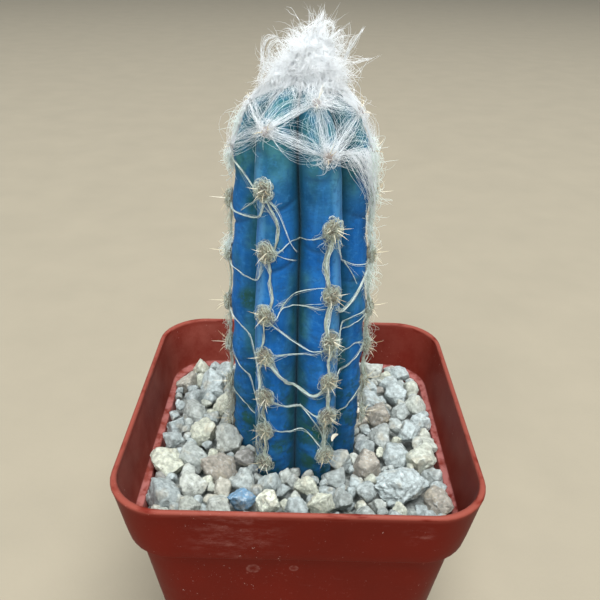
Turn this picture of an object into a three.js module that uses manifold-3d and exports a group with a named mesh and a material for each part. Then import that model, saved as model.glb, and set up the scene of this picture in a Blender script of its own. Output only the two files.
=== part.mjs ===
// A young woolly torch cactus in a square plastic pot, top-dressed with pale gravel.
// Millimetres, +Z up. The origin is the centre of the pot's footprint, and -Y is the front.
import * as THREE from "three";
import { mergeVertices } from "three/addons/utils/BufferGeometryUtils.js";
import Module from "manifold-3d";

const wasm = await Module();
wasm.setup();

// Driving dimensions of the pot
const POT_HEIGHT = 84;
const POT_WALL = 1.4;
const POT_BASE = 2;
const RIM_HALF = 45;
const BAND_HEIGHT = 17;
const BAND_HALF = 42.5;
const BODY_TOP_HALF = 40.6;
const BODY_BOTTOM_HALF = 31.2;
const SHOULDER_RISE = 1.2;
const LEDGE = POT_HEIGHT - BAND_HEIGHT + POT_WALL; // level of the step inside, under the rim band
const BOTTOM_BEVEL = 1;
const CORNER_SHARE = 0.3; // corner radius as a share of the half width
const CORNER_STEPS = 5;
const DRAIN_RADIUS = 3.5;
const DRAIN_SPREAD = 17;
const FOOT_WIDTH = 5;
const FOOT_RECESS = 0.7;

// Driving dimensions of what fills the pot
const GAP = 0.3; // clearance between touching pieces
const SOIL_TOP = 61;
const GRAVEL_TOP = 69; // level of the bed between the stones that show
const STONE_CENTRE = 70.6;
const STONE_JITTER = { below: 0.6, range: 1.4 }; // how far the bed's stones lie under and over that level
const LOOSE_RISE = 0.6;
const STEM_HOLE = 0.75; // clearance between the stem and the gravel and soil round it

// Driving dimensions of the stem
const STEM_X = -0.9; // the stem stands a little to the left of the pot's middle
const STEM_RADIUS = 17.2;
const SHOULDER_RADIUS = 16.2;
const NARROWS_FROM = 112; // from this level to the start of its dome the stem narrows to its shoulders
const STEM_BASE = 50;
const STEM_COLLAR = 66; // below this level the stem narrows to its root end
const ROOT_RADIUS = 8;
const DOME_START = 147;
const STEM_APEX = 170;
const DOME_POWER = 2.9;
const GROOVE_DEPTH = 6;
const CREVICE_DEPTH = 1.1;
const SWELL = 0.35; // how far the crest swells at each areole
const SWELL_REACH = 6;
const BURIED_LEVELS = [STEM_BASE, 56, 62];
const COLUMN_STEPS = 19;
const DOME_LEVELS = [0.28, 0.48, 0.64, 0.77, 0.87, 0.94, 0.985]; // shares of the dome's height
const RIB_ROUNDING = 0.12; // how blunt the crests are, as a share of the way to the groove
const RIB_POWER = 1.2;
const CREVICE_WIDTH = 0.09;
const RIB_ANGLES = [-92, -26, 25.5, 86.5, 147, 207.5]; // degrees from the front, towards +X
const TWIST = { from: 140, turn: -9 }; // degrees that the ribs turn from this level to the apex

// Areole heights up each rib, from the gravel to the crown
const AREOLES = [
  [76, 89, 101.5, 114, 128, 142, 154.5, 165],
  [74.5, 85, 95.5, 107.5, 119, 135, 149.5, 161.5],
  [77.5, 90, 100.5, 112.5, 124.5, 141, 157, 167],
  [80, 91.5, 102.5, 114, 129, 145, 155.5, 164],
  [75.5, 87, 98, 110, 123, 138, 152, 163],
  [78.5, 90, 101, 113, 126.5, 142.5, 155, 164.5],
];
const WHITE_ABOVE = 151; // areoles above this level are white and belong to the crown
const CUSHION = { across: 2.3, tall: 2.5, deep: 1.6, sides: 6 };
const WHITE_CUSHION_DEEP = 2.4;
const SPINES = { tan: 6, white: 4 };
const SPINE = { length: 4.6, radius: 0.42, root: 0.9 };
const SPINE_RISE = { central: 1.25, low: 0.45, spread: 0.35 }; // angles off the skin, in radians
const CORD = { radius: 0.7, wander: 0.9, steps: 3 }; // wander: how far to the side of the crest it may start

// Wool strands from an areole of one rib to an areole of the next, with the sag at mid-span
const STRANDS = [
  { rib: 0, from: 5, to: 5, sag: 1 },
  { rib: 0, from: 4, to: 4, sag: 4 },
  { rib: 0, from: 3, to: 2, sag: 1 },
  { rib: 0, from: 2, to: 1, sag: 1 },
  { rib: 1, from: 5, to: 4, sag: 2 },
  { rib: 1, from: 4, to: 4, sag: -2 },
  { rib: 1, from: 3, to: 3, sag: -2 },
  { rib: 1, from: 3, to: 2, sag: 1 },
  { rib: 1, from: 2, to: 1, sag: 1 },
  { rib: 1, from: 1, to: 0, sag: 0 },
  { rib: 2, from: 4, to: 4, sag: 3 },
  { rib: 2, from: 3, to: 4, sag: 2 },
  { rib: 2, from: 2, to: 2, sag: -1 },
  { rib: 2, from: 1, to: 1, sag: 3 },
  { rib: 3, from: 5, to: 4, sag: 2 },
  { rib: 3, from: 3, to: 3, sag: 2 },
  { rib: 3, from: 1, to: 1, sag: 1 },
  { rib: 4, from: 5, to: 4, sag: 2 },
  { rib: 4, from: 3, to: 3, sag: -1 },
  { rib: 4, from: 2, to: 1, sag: 1 },
  { rib: 5, from: 5, to: 4, sag: 1 },
  { rib: 5, from: 3, to: 3, sag: 3 },
  { rib: 5, from: 2, to: 1, sag: 1 },
];
const STRAND = { radius: 0.45, steps: 5, lift: 1 }; // lift: how far its middle keeps off the skin

// Driving dimensions of the white crown
const CROWN_SEED = 7;
const CROWN_CORE = { across: 9, tall: 7.5 };
const HAIR = { count: 48, length: 11, radius: 0.6, root: 3, turn: 2.4, lean: 1.35 }; // angles in radians
const WEB = { radius: 0.55, steps: 3, lift: 1.6, reach: 18 }; // reach: the longest strand between areoles
const DOME_SIDES = 12;
const DOME_CUT_LEVELS = [0, 0.4, 0.64, 0.82, 0.93, 0.99]; // shares of the dome's height

// The stones that stand out, by place and size; each is a piece of its own
const LOOSE_STONES = [
  { name: "stone_large_pale", tone: "pale", x: 27.4, y: -20.7, size: [8, 6, 4.8], turn: 10 },
  { name: "stone_blue_grey", tone: "blue", x: -14.2, y: -26, size: [3.9, 3, 2.8], turn: 0 },
  { name: "stone_cream_block", tone: "cream", x: -7.6, y: -28, size: [2.7, 2.9, 4.3], turn: 5 },
  { name: "stone_tan_left", tone: "tan", x: -20.6, y: -15.4, size: [4.4, 4.2, 4], turn: 40 },
  { name: "stone_tan_right", tone: "tan", x: 19, y: -12.8, size: [3.9, 4.2, 4.2], turn: 70 },
  { name: "stone_cream_left", tone: "cream", x: -27.4, y: 0.3, size: [4.3, 4, 3.8], turn: 20 },
  { name: "stone_cream_back", tone: "cream", x: -22.8, y: 13.6, size: [3.6, 3.8, 4.4], turn: 0 },
  { name: "stone_cream_front", tone: "cream", x: 6.3, y: -28.6, size: [3.4, 3.3, 3.6], turn: 30 },
  { name: "stone_tan_corner", tone: "tan", x: 36, y: -26.6, size: [3.6, 4.2, 3.6], turn: 0 },
  { name: "stone_tan_rear", tone: "tan", x: 24.6, y: 9.6, size: [4.3, 4.1, 4], turn: 50 },
];

// Larger stones of the bed, placed where they show: [x, y, half width]
const BED_STONES = [
  [-33, 34, 3], [-28, 25, 4], [-33, 18, 3], [-32, 10, 4], [-36, 3, 3], [-36, -4, 3],
  [-36, -12, 5], [-29, -10, 4], [-14, -20, 3], [-35, -24, 5], [-33, -33, 3], [-27, -31, 3],
  [-27, -23, 4], [-20, -30, 3], [24, 34, 4], [22, 24, 3], [33, 32, 3], [30, 21, 4],
  [36, 16, 3], [31, 12, 3], [36, 7, 3], [24, 0, 4], [27, -8, 4], [34, -9, 5],
  [12, -26, 3], [18, -23, 3], [17, -31, 3], [0, -30, 3], [2, -22, 3], [-4, -22, 2],
];
const FILL = { seed: 20, tries: 2000, smallest: 3.2, largest: 4.6, spacing: 1 };
const STONE_ROUGHNESS = 0.2;
const STONE_TILT = 50; // degrees, half of it to each side
const STONE_SEEDS = { bed: 1000, loose: 500 };

const COLOURS = {
  pot: { color: 0x8c2f22, roughness: 0.5 },
  soil: { color: 0x3b2c21, roughness: 1 },
  pale: { color: 0xb9b6ad, roughness: 0.95 },
  cream: { color: 0xc3bb9f, roughness: 0.95 },
  tan: { color: 0xa39484, roughness: 0.95 },
  blue: { color: 0x7b8ba0, roughness: 0.95 },
  stem: { color: 0x3f74ad, roughness: 0.6 },
  areole: { color: 0xb7ab8b, roughness: 0.95 },
  crown: { color: 0xe9edf2, roughness: 0.95 },
};

const radians = THREE.MathUtils.degToRad;

// A repeatable stream of numbers from 0 to 1.
function seededRandom(seed) {
  let state = seed >>> 0;
  return () => {
    state = (state + 0x6d2b79f5) >>> 0;
    let mixed = Math.imul(state ^ (state >>> 15), 1 | state);
    mixed = (mixed + Math.imul(mixed ^ (mixed >>> 7), 61 | mixed)) ^ mixed;
    return ((mixed ^ (mixed >>> 14)) >>> 0) / 4294967296;
  };
}

// Geometry and solids
function geometryOf(points, faces) {
  const geometry = new THREE.BufferGeometry().setFromPoints(points);
  geometry.setIndex(faces);
  return geometry;
}

// A three.js geometry with only its positions, and its shared corners merged.
function merged(geometry) {
  geometry.deleteAttribute("normal");
  geometry.deleteAttribute("uv");
  return mergeVertices(geometry);
}

// A closed skin over a stack of rings, counter-clockwise seen from the last ring. A fan closes each end:
// at the middle of the first ring, and at the tip or else the middle of the last one.
function loft(rings, tip) {
  const sides = rings[0].length;
  const last = rings.length - 1;
  const faces = [];
  for (let level = 0; level < last; level++) {
    for (let i = 0; i < sides; i++) {
      const a = level * sides + i;
      const b = level * sides + ((i + 1) % sides);
      faces.push(a, b, b + sides, a, b + sides, a + sides);
    }
  }
  const foot = rings.length * sides;
  for (let i = 0; i < sides; i++) {
    const next = (i + 1) % sides;
    faces.push(foot, next, i);
    faces.push(foot + 1, last * sides + i, last * sides + next);
  }
  const points = [...rings.flat(), middle(rings[0]), tip ?? middle(rings[last])];
  return geometryOf(points, faces);
}

function middle(ring) {
  return ring.reduce((sum, point) => sum.add(point), new THREE.Vector3()).divideScalar(ring.length);
}

function solidOf(geometry) {
  return new wasm.Manifold(
    new wasm.Mesh({
      numProp: 3,
      vertProperties: new Float32Array(geometry.getAttribute("position").array),
      triVerts: new Uint32Array(geometry.index.array),
    }),
  );
}

function meshOf(name, solid, look) {
  const { vertProperties, triVerts } = solid.getMesh();
  const geometry = new THREE.BufferGeometry();
  geometry.setAttribute("position", new THREE.BufferAttribute(vertProperties, 3));
  geometry.setIndex(new THREE.BufferAttribute(triVerts, 1));
  geometry.computeVertexNormals();
  const mesh = new THREE.Mesh(geometry, new THREE.MeshStandardMaterial({ ...COLOURS[look], metalness: 0 }));
  mesh.name = name;
  return mesh;
}

// The largest body of a solid; scraps that a cut leaves loose are dropped.
function largestBody(solid) {
  return solid.decompose().reduce((best, body) => (body.volume() > best.volume() ? body : best));
}

// The pot
function squareRing(half, z, share = CORNER_SHARE) {
  const radius = half * share;
  const straight = half - radius;
  const corners = [[1, 1], [-1, 1], [-1, -1], [1, -1]];
  return corners.flatMap(([sx, sy], quarter) =>
    Array.from({ length: CORNER_STEPS + 1 }, (_, step) => {
      const turn = (Math.PI / 2) * (quarter + step / CORNER_STEPS);
      const corner = new THREE.Vector3(sx * straight, sy * straight, z);
      return corner.add(new THREE.Vector3(radius * Math.cos(turn), radius * Math.sin(turn), 0));
    }),
  );
}

function bodyHalf(z) {
  return THREE.MathUtils.mapLinear(z, 0, POT_HEIGHT - BAND_HEIGHT, BODY_BOTTOM_HALF, BODY_TOP_HALF);
}

function bandHalf(z) {
  return THREE.MathUtils.mapLinear(z, POT_HEIGHT - BAND_HEIGHT, POT_HEIGHT, BAND_HALF, RIM_HALF);
}

// The space inside the pot from a level in its body to one in its rim band, drawn in by inset from its walls.
function innerRings(low, high, inset) {
  const wall = POT_WALL + inset;
  const step = LEDGE + inset;
  return [
    squareRing(bodyHalf(low) - wall, low),
    squareRing(bodyHalf(LEDGE) - wall, step),
    squareRing(bandHalf(step) - wall, step + SHOULDER_RISE / 2),
    squareRing(bandHalf(high) - wall, high),
  ];
}

function buildPot() {
  const bandFoot = POT_HEIGHT - BAND_HEIGHT;
  const outside = solidOf(
    loft([
      squareRing(BODY_BOTTOM_HALF - BOTTOM_BEVEL / 2, 0),
      squareRing(BODY_BOTTOM_HALF, BOTTOM_BEVEL),
      squareRing(BODY_TOP_HALF, bandFoot),
      squareRing(BAND_HALF, bandFoot + SHOULDER_RISE),
      squareRing(RIM_HALF, POT_HEIGHT),
    ]),
  );
  const inside = solidOf(loft(innerRings(POT_BASE, POT_HEIGHT + 1, 0)));
  const recess = solidOf(loft([-1, FOOT_RECESS].map((z) => squareRing(BODY_BOTTOM_HALF - FOOT_WIDTH, z))));
  const drains = [[0, 0], [1, 1], [-1, 1], [-1, -1], [1, -1]].map(([sx, sy]) => {
    const drain = new THREE.CylinderGeometry(DRAIN_RADIUS, DRAIN_RADIUS, POT_BASE * 4, 12);
    drain.rotateX(Math.PI / 2).translate(sx * DRAIN_SPREAD, sy * DRAIN_SPREAD, 0);
    return solidOf(merged(drain));
  });
  return outside.subtract(wasm.Manifold.union([inside, recess, ...drains]));
}

// The stem
function fromFront(degrees, distance, z) {
  const turn = radians(degrees);
  return new THREE.Vector3(distance * Math.sin(turn), -distance * Math.cos(turn), z);
}

// The nearest rib to an angle, and how far the angle lies from its crest to the next groove, from 0 to 1.
function ribAt(degrees) {
  let found = { rib: 0, share: 2 };
  RIB_ANGLES.forEach((crest, rib) => {
    const off = THREE.MathUtils.euclideanModulo(degrees - crest + 180, 360) - 180;
    const count = RIB_ANGLES.length;
    const neighbour = RIB_ANGLES[(rib + (off < 0 ? count - 1 : 1)) % count];
    const spacing = THREE.MathUtils.euclideanModulo(Math.sign(off || 1) * (neighbour - crest), 360);
    const share = Math.abs(off) / (spacing / 2);
    if (share < found.share) found = { rib, share };
  });
  return found;
}

// How far the ribs have turned at a level, in degrees.
function twistAt(z) {
  return TWIST.turn * THREE.MathUtils.clamp((z - TWIST.from) / (STEM_APEX - TWIST.from), 0, 1);
}

// The stem's outer radius before the ribs are cut in.
function stemEnvelope(z) {
  if (z > DOME_START) {
    const rise = Math.min(1, (z - DOME_START) / (STEM_APEX - DOME_START));
    return SHOULDER_RADIUS * Math.sqrt(1 - rise ** DOME_POWER);
  }
  if (z < STEM_COLLAR) {
    const drop = (STEM_COLLAR - z) / (STEM_COLLAR - STEM_BASE);
    return THREE.MathUtils.lerp(STEM_RADIUS, ROOT_RADIUS, drop ** 1.6);
  }
  const narrowed = THREE.MathUtils.smoothstep(z, NARROWS_FROM, DOME_START);
  return THREE.MathUtils.lerp(STEM_RADIUS, SHOULDER_RADIUS, narrowed);
}

function stemRadius(degrees, z, creviceDepth = CREVICE_DEPTH) {
  const { rib, share } = ribAt(degrees - twistAt(z));
  const blunt = (value) => Math.hypot(value, RIB_ROUNDING) - RIB_ROUNDING;
  const fall = (blunt(share) / blunt(1)) ** RIB_POWER;
  const crevice = Math.exp(-(((1 - share) / CREVICE_WIDTH) ** 2));
  const depth = GROOVE_DEPTH * fall + creviceDepth * crevice;
  const nearest = Math.min(...AREOLES[rib].map((height) => Math.abs(height - z)));
  const swell = SWELL * Math.cos(Math.min(1, nearest / SWELL_REACH) * Math.PI) * (1 - share);
  const ribbed = THREE.MathUtils.smoothstep(z, STEM_BASE, STEM_COLLAR);
  return stemEnvelope(z) * (1 + ((swell - depth) * ribbed) / STEM_RADIUS);
}

// Angles round the stem, at these shares of the way from each crest to the grooves beside it.
const SKIN_SHARES = [-0.88, -0.58, -0.25, 0, 0.25, 0.58, 0.88, 1];
const HOLE_SHARES = [-0.6, -0.3, 0, 0.3, 0.6, 1];
function stemAngles(shares) {
  const count = RIB_ANGLES.length;
  return RIB_ANGLES.flatMap((crest, rib) => {
    const before = THREE.MathUtils.euclideanModulo(crest - RIB_ANGLES[(rib + count - 1) % count], 360) / 2;
    const after = THREE.MathUtils.euclideanModulo(RIB_ANGLES[(rib + 1) % count] - crest, 360) / 2;
    return shares.map((share) => crest + share * (share < 0 ? before : after));
  });
}

function domeLevel(share) {
  return THREE.MathUtils.lerp(DOME_START, STEM_APEX, share);
}

function buildStem() {
  const angles = stemAngles(SKIN_SHARES);
  const column = Array.from({ length: COLUMN_STEPS + 1 }, (_, i) =>
    THREE.MathUtils.lerp(STEM_COLLAR, DOME_START, i / COLUMN_STEPS),
  );
  const levels = [...BURIED_LEVELS, ...column, ...DOME_LEVELS.map(domeLevel)];
  const onSkin = (degrees, z) => fromFront(degrees, stemRadius(degrees, z), z);
  return solidOf(loft(levels.map((z) => angles.map((angle) => onSkin(angle + twistAt(z), z)))));
}

// The plain hole that the stem stands in, through the gravel and down into the soil.
function buildStemHole() {
  const angles = stemAngles(HOLE_SHARES);
  const ring = (z, level = z) =>
    angles.map((degrees) => fromFront(degrees, stemRadius(degrees, z, 0) + STEM_HOLE, level));
  const above = [...BURIED_LEVELS.slice(1), STEM_COLLAR, POT_HEIGHT].map((z) => ring(z));
  return solidOf(loft([ring(STEM_BASE, STEM_BASE - STEM_HOLE), ...above]));
}

// Wool, spines and strands
// A tube along points, with its radius at each of them. A radius of 0 at the end makes it a point.
function tube(points, radii, sides = 3) {
  const rings = points.map((point, i) => {
    const ahead = points[Math.min(points.length - 1, i + 1)].clone();
    const along = ahead.sub(points[Math.max(0, i - 1)]).normalize();
    const side = new THREE.Vector3(0.31, 0.52, 0.79).cross(along).normalize();
    const up = along.clone().cross(side);
    return Array.from({ length: sides }, (_, k) => {
      const turn = (2 * Math.PI * k) / sides;
      const across = side.clone().multiplyScalar(Math.cos(turn)).addScaledVector(up, Math.sin(turn));
      return point.clone().addScaledVector(across, radii[i]);
    });
  });
  const pointed = radii[radii.length - 1] === 0;
  return solidOf(pointed ? loft(rings.slice(0, -1), points[points.length - 1]) : loft(rings));
}

// The local frame of an areole: its place on the crest and its outward, sideways and upward directions.
function areoleFrame(rib, index) {
  const z = AREOLES[rib][index];
  const degrees = RIB_ANGLES[rib] + twistAt(z);
  const step = 0.5;
  const place = fromFront(degrees, stemRadius(degrees, z), z);
  const up = fromFront(degrees, stemRadius(degrees, z + step), z + step).sub(place).normalize();
  const side = fromFront(degrees + 90, 1, 0);
  return { place, out: side.clone().cross(up).normalize(), side, up };
}

// A point at a distance outward, sideways and upward from an areole.
function from({ place, out, side, up }, outward, sideways = 0, upward = 0) {
  const point = place.clone().addScaledVector(out, outward);
  return point.addScaledVector(side, sideways).addScaledVector(up, upward);
}

// The wool cushion of an areole: a low six-sided dome that lies just off the skin.
function cushion(frame, grow, deep = CUSHION.deep) {
  const { across, tall, sides } = CUSHION;
  const ring = (share, height) =>
    Array.from({ length: sides }, (_, i) => {
      const turn = (2 * Math.PI * i) / sides;
      const sideways = Math.cos(turn) * (across * share + grow);
      return from(frame, height, sideways, Math.sin(turn) * (tall * share + grow));
    });
  const top = from(frame, deep + GAP + grow);
  return solidOf(loft([ring(1, GAP - grow), ring(0.72, deep * 0.8 + grow)], top));
}

// The spines of an areole: one that stands out and a ring of shorter ones that lean out over the skin.
function spinesOf(frame, count, random, grow) {
  return Array.from({ length: count }, (_, i) => {
    const central = i === 0;
    const turn = (2 * Math.PI * (i + random() * 0.5)) / (count - 1);
    const rise = central ? SPINE_RISE.central : SPINE_RISE.low + random() * SPINE_RISE.spread;
    const length = SPINE.length * (central ? 1.25 : 0.8 + random() * 0.35) + grow;
    const flat = Math.cos(rise) * length;
    const outward = SPINE.root + Math.sin(rise) * length;
    const tip = from(frame, outward, Math.cos(turn) * flat, Math.sin(turn) * flat);
    return tube([from(frame, SPINE.root), tip], [SPINE.radius + grow, 0]);
  });
}

// The nearest place to a point that keeps this far off the skin: straight out, or up on top of the dome.
function offTheSkin(point, lift) {
  const degrees = THREE.MathUtils.radToDeg(Math.atan2(point.x, -point.y));
  const distance = Math.hypot(point.x, point.y);
  const skin = stemRadius(degrees, point.z) + lift;
  const share = Math.min(1, distance / SHOULDER_RADIUS);
  const top = domeLevel((1 - share ** 2) ** (1 / DOME_POWER)) + lift;
  if (distance >= skin || point.z >= top) return point;
  return top - point.z < skin - distance ? point.setZ(top) : fromFront(degrees, skin, point.z);
}

// A strand between two places outside the stem: straight over the groove, and kept off the skin.
function strand(start, end, { radius, steps, lift, sag = 0 }) {
  const points = Array.from({ length: steps + 1 }, (_, i) => {
    const point = start.clone().lerp(end, i / steps);
    point.z -= sag * Math.sin((Math.PI * i) / steps);
    return offTheSkin(point, lift);
  });
  return tube(points, points.map(() => radius));
}

// The tan areoles of one rib with their spines, and the cord of wool down the crest that joins them.
function buildAreoles(rib, grow) {
  const random = seededRandom(rib + 1);
  const frames = AREOLES[rib].filter((z) => z < WHITE_ABOVE).map((_, index) => areoleFrame(rib, index));
  const spines = (frame) => spinesOf(frame, SPINES.tan, random, grow);
  const pieces = frames.flatMap((frame) => [cushion(frame, grow), ...spines(frame)]);
  const sideways = frames.map(() => (random() * 2 - 1) * CORD.wander);
  frames.slice(1).forEach((frame, i) => {
    const low = from(frames[i], STRAND.lift, sideways[i]);
    const high = from(frame, STRAND.lift, -sideways[i + 1]);
    pieces.push(strand(low, high, { ...STRAND, steps: CORD.steps, radius: CORD.radius + grow }));
  });
  return wasm.Manifold.union(pieces);
}

// The strands that cross the groove from one rib to the next.
function buildStrands(rib, grow) {
  const next = (rib + 1) % RIB_ANGLES.length;
  const crossing = STRANDS.filter((link) => link.rib === rib);
  return wasm.Manifold.union(
    crossing.map((link) => {
      const start = from(areoleFrame(rib, link.from), STRAND.lift, 0, -0.5);
      const end = from(areoleFrame(next, link.to), STRAND.lift, 0, 0.5);
      return strand(start, end, { ...STRAND, sag: link.sag, radius: STRAND.radius + grow });
    }),
  );
}

// The white wool: a tuft on the apex, and a web over the topmost areoles.
function buildCrown() {
  const random = seededRandom(CROWN_SEED);
  const white = AREOLES.flatMap((heights, rib) =>
    heights.flatMap((z, index) => (z < WHITE_ABOVE ? [] : [{ rib, ...areoleFrame(rib, index) }])),
  );
  const areoles = white.flatMap((frame) => [
    cushion(frame, 0, WHITE_CUSHION_DEEP),
    ...spinesOf(frame, SPINES.white, random, 0),
  ]);
  const web = webLinks(white).map(([one, other]) => strand(from(one, WEB.lift), from(other, WEB.lift), WEB));
  return wasm.Manifold.union([buildTuft(white, random), ...areoles, ...web]);
}

// Pairs of white areoles that the web joins: those on the same or neighbouring ribs that lie within its reach.
function webLinks(white) {
  const near = (one, other) => {
    const ribs = Math.abs(one.rib - other.rib);
    return Math.min(ribs, RIB_ANGLES.length - ribs) < 2 && one.place.distanceTo(other.place) < WEB.reach;
  };
  return white.flatMap((one, i) =>
    white
      .slice(i + 1)
      .filter((other) => near(one, other))
      .map((other) => [one, other]),
  );
}

// The tuft: a core with hairs out of it and a strand to each areole near it, hollowed underneath by the dome.
function buildTuft(white, random) {
  const apex = new THREE.Vector3(0, 0, STEM_APEX);
  const core = merged(new THREE.IcosahedronGeometry(1, 1));
  core.scale(CROWN_CORE.across, CROWN_CORE.across, CROWN_CORE.tall).translate(0, 0, STEM_APEX);
  const hairs = Array.from({ length: HAIR.count }, (_, i) => crownHair(apex, i, random));
  const near = white.filter(({ place }) => place.distanceTo(apex) < WEB.reach);
  const knot = apex.clone().setZ(STEM_APEX + 2 * WEB.lift);
  const roots = near.map((frame) => strand(from(frame, WEB.lift), knot, WEB));

  const widen = 1 / Math.cos(Math.PI / DOME_SIDES);
  const angles = Array.from({ length: DOME_SIDES }, (_, i) => (360 * i) / DOME_SIDES);
  const ring = (z) => angles.map((degrees) => fromFront(degrees, stemEnvelope(z) * widen + GAP * 2, z));
  const dome = loft(DOME_CUT_LEVELS.map(domeLevel).map(ring), apex.clone().setZ(STEM_APEX + GAP));
  return wasm.Manifold.union([solidOf(core), ...hairs, ...roots]).subtract(solidOf(dome));
}

// One hair of the tuft: it leaves the core and bends over.
function crownHair(apex, index, random) {
  const turn = index * HAIR.turn + random() * 0.4;
  const lean = 0.15 + HAIR.lean * Math.sqrt((index + 0.5) / HAIR.count);
  const half = (HAIR.length * (0.65 + random() * 0.6) * (1.1 - lean * 0.28)) / 2;
  const bend = (random() - 0.35) * 0.9;
  const heading = (tilt, swing) =>
    new THREE.Vector3(Math.sin(tilt) * Math.cos(swing), Math.sin(tilt) * Math.sin(swing), Math.cos(tilt));
  const root = new THREE.Vector3(Math.cos(turn), Math.sin(turn), 0.4).multiplyScalar(lean * 2).add(apex);
  const elbow = root.clone().addScaledVector(heading(lean, turn), half + HAIR.root);
  const tip = elbow.clone().addScaledVector(heading(lean + bend, turn + bend * 0.7), half);
  return tube([root, elbow, tip], [HAIR.radius, HAIR.radius * 0.9, 0]);
}

// Gravel and soil
// An angular stone: an icosahedron with its corners pushed in and out, stretched, turned and set in place.
function buildStone({ x, y, z, size, turn, seed }, grow = 0) {
  const random = seededRandom(seed);
  const tilt = () => radians((random() - 0.5) * STONE_TILT);
  const spin = new THREE.Euler(tilt(), tilt(), radians(turn));
  const geometry = merged(new THREE.IcosahedronGeometry(1));
  const corners = geometry.getAttribute("position");
  for (let i = 0; i < corners.count; i++) {
    const corner = new THREE.Vector3().fromBufferAttribute(corners, i).applyEuler(spin);
    corner.multiplyScalar(1 + (random() * 2 - 1) * STONE_ROUGHNESS);
    corners.setXYZ(i, corner.x * (size[0] + grow), corner.y * (size[1] + grow), corner.z * (size[2] + grow));
  }
  return solidOf(geometry.translate(x, y, z));
}

// Whether a stone of this size fits between the pot's wall and the stem.
function clearOfWallAndStem(x, y, half) {
  const wall = bodyHalf(GRAVEL_TOP) - POT_WALL - GAP;
  const radius = wall * CORNER_SHARE;
  const overX = Math.max(0, Math.abs(x) - (wall - radius));
  const overY = Math.max(0, Math.abs(y) - (wall - radius));
  const degrees = THREE.MathUtils.radToDeg(Math.atan2(x - STEM_X, -y));
  const room = Math.hypot(overX, overY) + half * 0.85 < radius;
  return room && Math.hypot(x - STEM_X, y) > stemRadius(degrees, STONE_CENTRE) + half * 0.75;
}

// Every stone of the bed: the ones placed by hand, then smaller ones wherever there is room.
function bedStones() {
  const random = seededRandom(FILL.seed);
  const taken = LOOSE_STONES.map(({ x, y, size }) => [x, y, (size[0] + size[1]) / 2]);
  const stones = [];
  const stretched = (half) => half * (0.88 + random() * 0.28);
  const place = (x, y, half) => {
    taken.push([x, y, half]);
    stones.push({
      x,
      y,
      z: STONE_CENTRE - STONE_JITTER.below + random() * STONE_JITTER.range,
      size: [stretched(half), stretched(half), stretched(half)],
      turn: random() * 360,
      seed: STONE_SEEDS.bed + stones.length,
    });
  };
  BED_STONES.forEach(([x, y, half]) => place(x, y, half));
  for (let i = 0; i < FILL.tries; i++) {
    const x = (random() * 2 - 1) * BODY_TOP_HALF;
    const y = (random() * 2 - 1) * BODY_TOP_HALF;
    const shrink = Math.min(1, (2 * i) / FILL.tries + random() * 0.3);
    const half = THREE.MathUtils.lerp(FILL.largest, FILL.smallest, shrink);
    const free = taken.every(([tx, ty, other]) => Math.hypot(tx - x, ty - y) > (half + other) * FILL.spacing);
    if (free && clearOfWallAndStem(x, y, half)) place(x, y, half);
  }
  return stones;
}

function buildSoil(hole) {
  const block = [POT_BASE + GAP, SOIL_TOP].map((z) => squareRing(bodyHalf(z) - POT_WALL - GAP, z));
  return solidOf(loft(block)).subtract(hole);
}

// The room for stones: inside the pot, above the soil and round the stem.
function buildStoneRoom(hole) {
  return solidOf(loft(innerRings(SOIL_TOP + GAP, POT_HEIGHT, GAP))).subtract(hole);
}

// The gravel bed: a slab with its stones standing out of it, cut back from the loose stones.
function buildBed(room, looseGrown) {
  const shoulder = bodyHalf(LEDGE) - POT_WALL - GAP;
  const slab = loft([
    squareRing(bodyHalf(SOIL_TOP) - POT_WALL - GAP, SOIL_TOP + GAP),
    squareRing(shoulder, LEDGE),
    squareRing(shoulder - GAP, GRAVEL_TOP),
  ]);
  const stones = bedStones().map((stone) => buildStone(stone));
  const bed = wasm.Manifold.union([solidOf(slab), ...stones]).intersect(room);
  return largestBody(bed.subtract(wasm.Manifold.union(looseGrown)));
}

// The loose stones; each gives way to those before it, and the bed gives way to their grown shapes.
function buildLooseStones(room) {
  const placed = LOOSE_STONES.map((stone, i) => {
    return { ...stone, z: STONE_CENTRE + LOOSE_RISE, seed: STONE_SEEDS.loose + i };
  });
  const grown = placed.map((stone) => buildStone(stone, GAP * 1.5));
  return placed.map(({ name, tone, ...stone }, i) => {
    const before = wasm.Manifold.union(grown.slice(0, i));
    const solid = largestBody(buildStone(stone).intersect(room).subtract(before));
    return { name, tone, solid, grown: grown[i] };
  });
}

// Assembly
// The stem and its wool are made round their own axis, and stand at STEM_X.
function setInPot(solid) {
  return solid.translate([STEM_X, 0, 0]);
}

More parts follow.
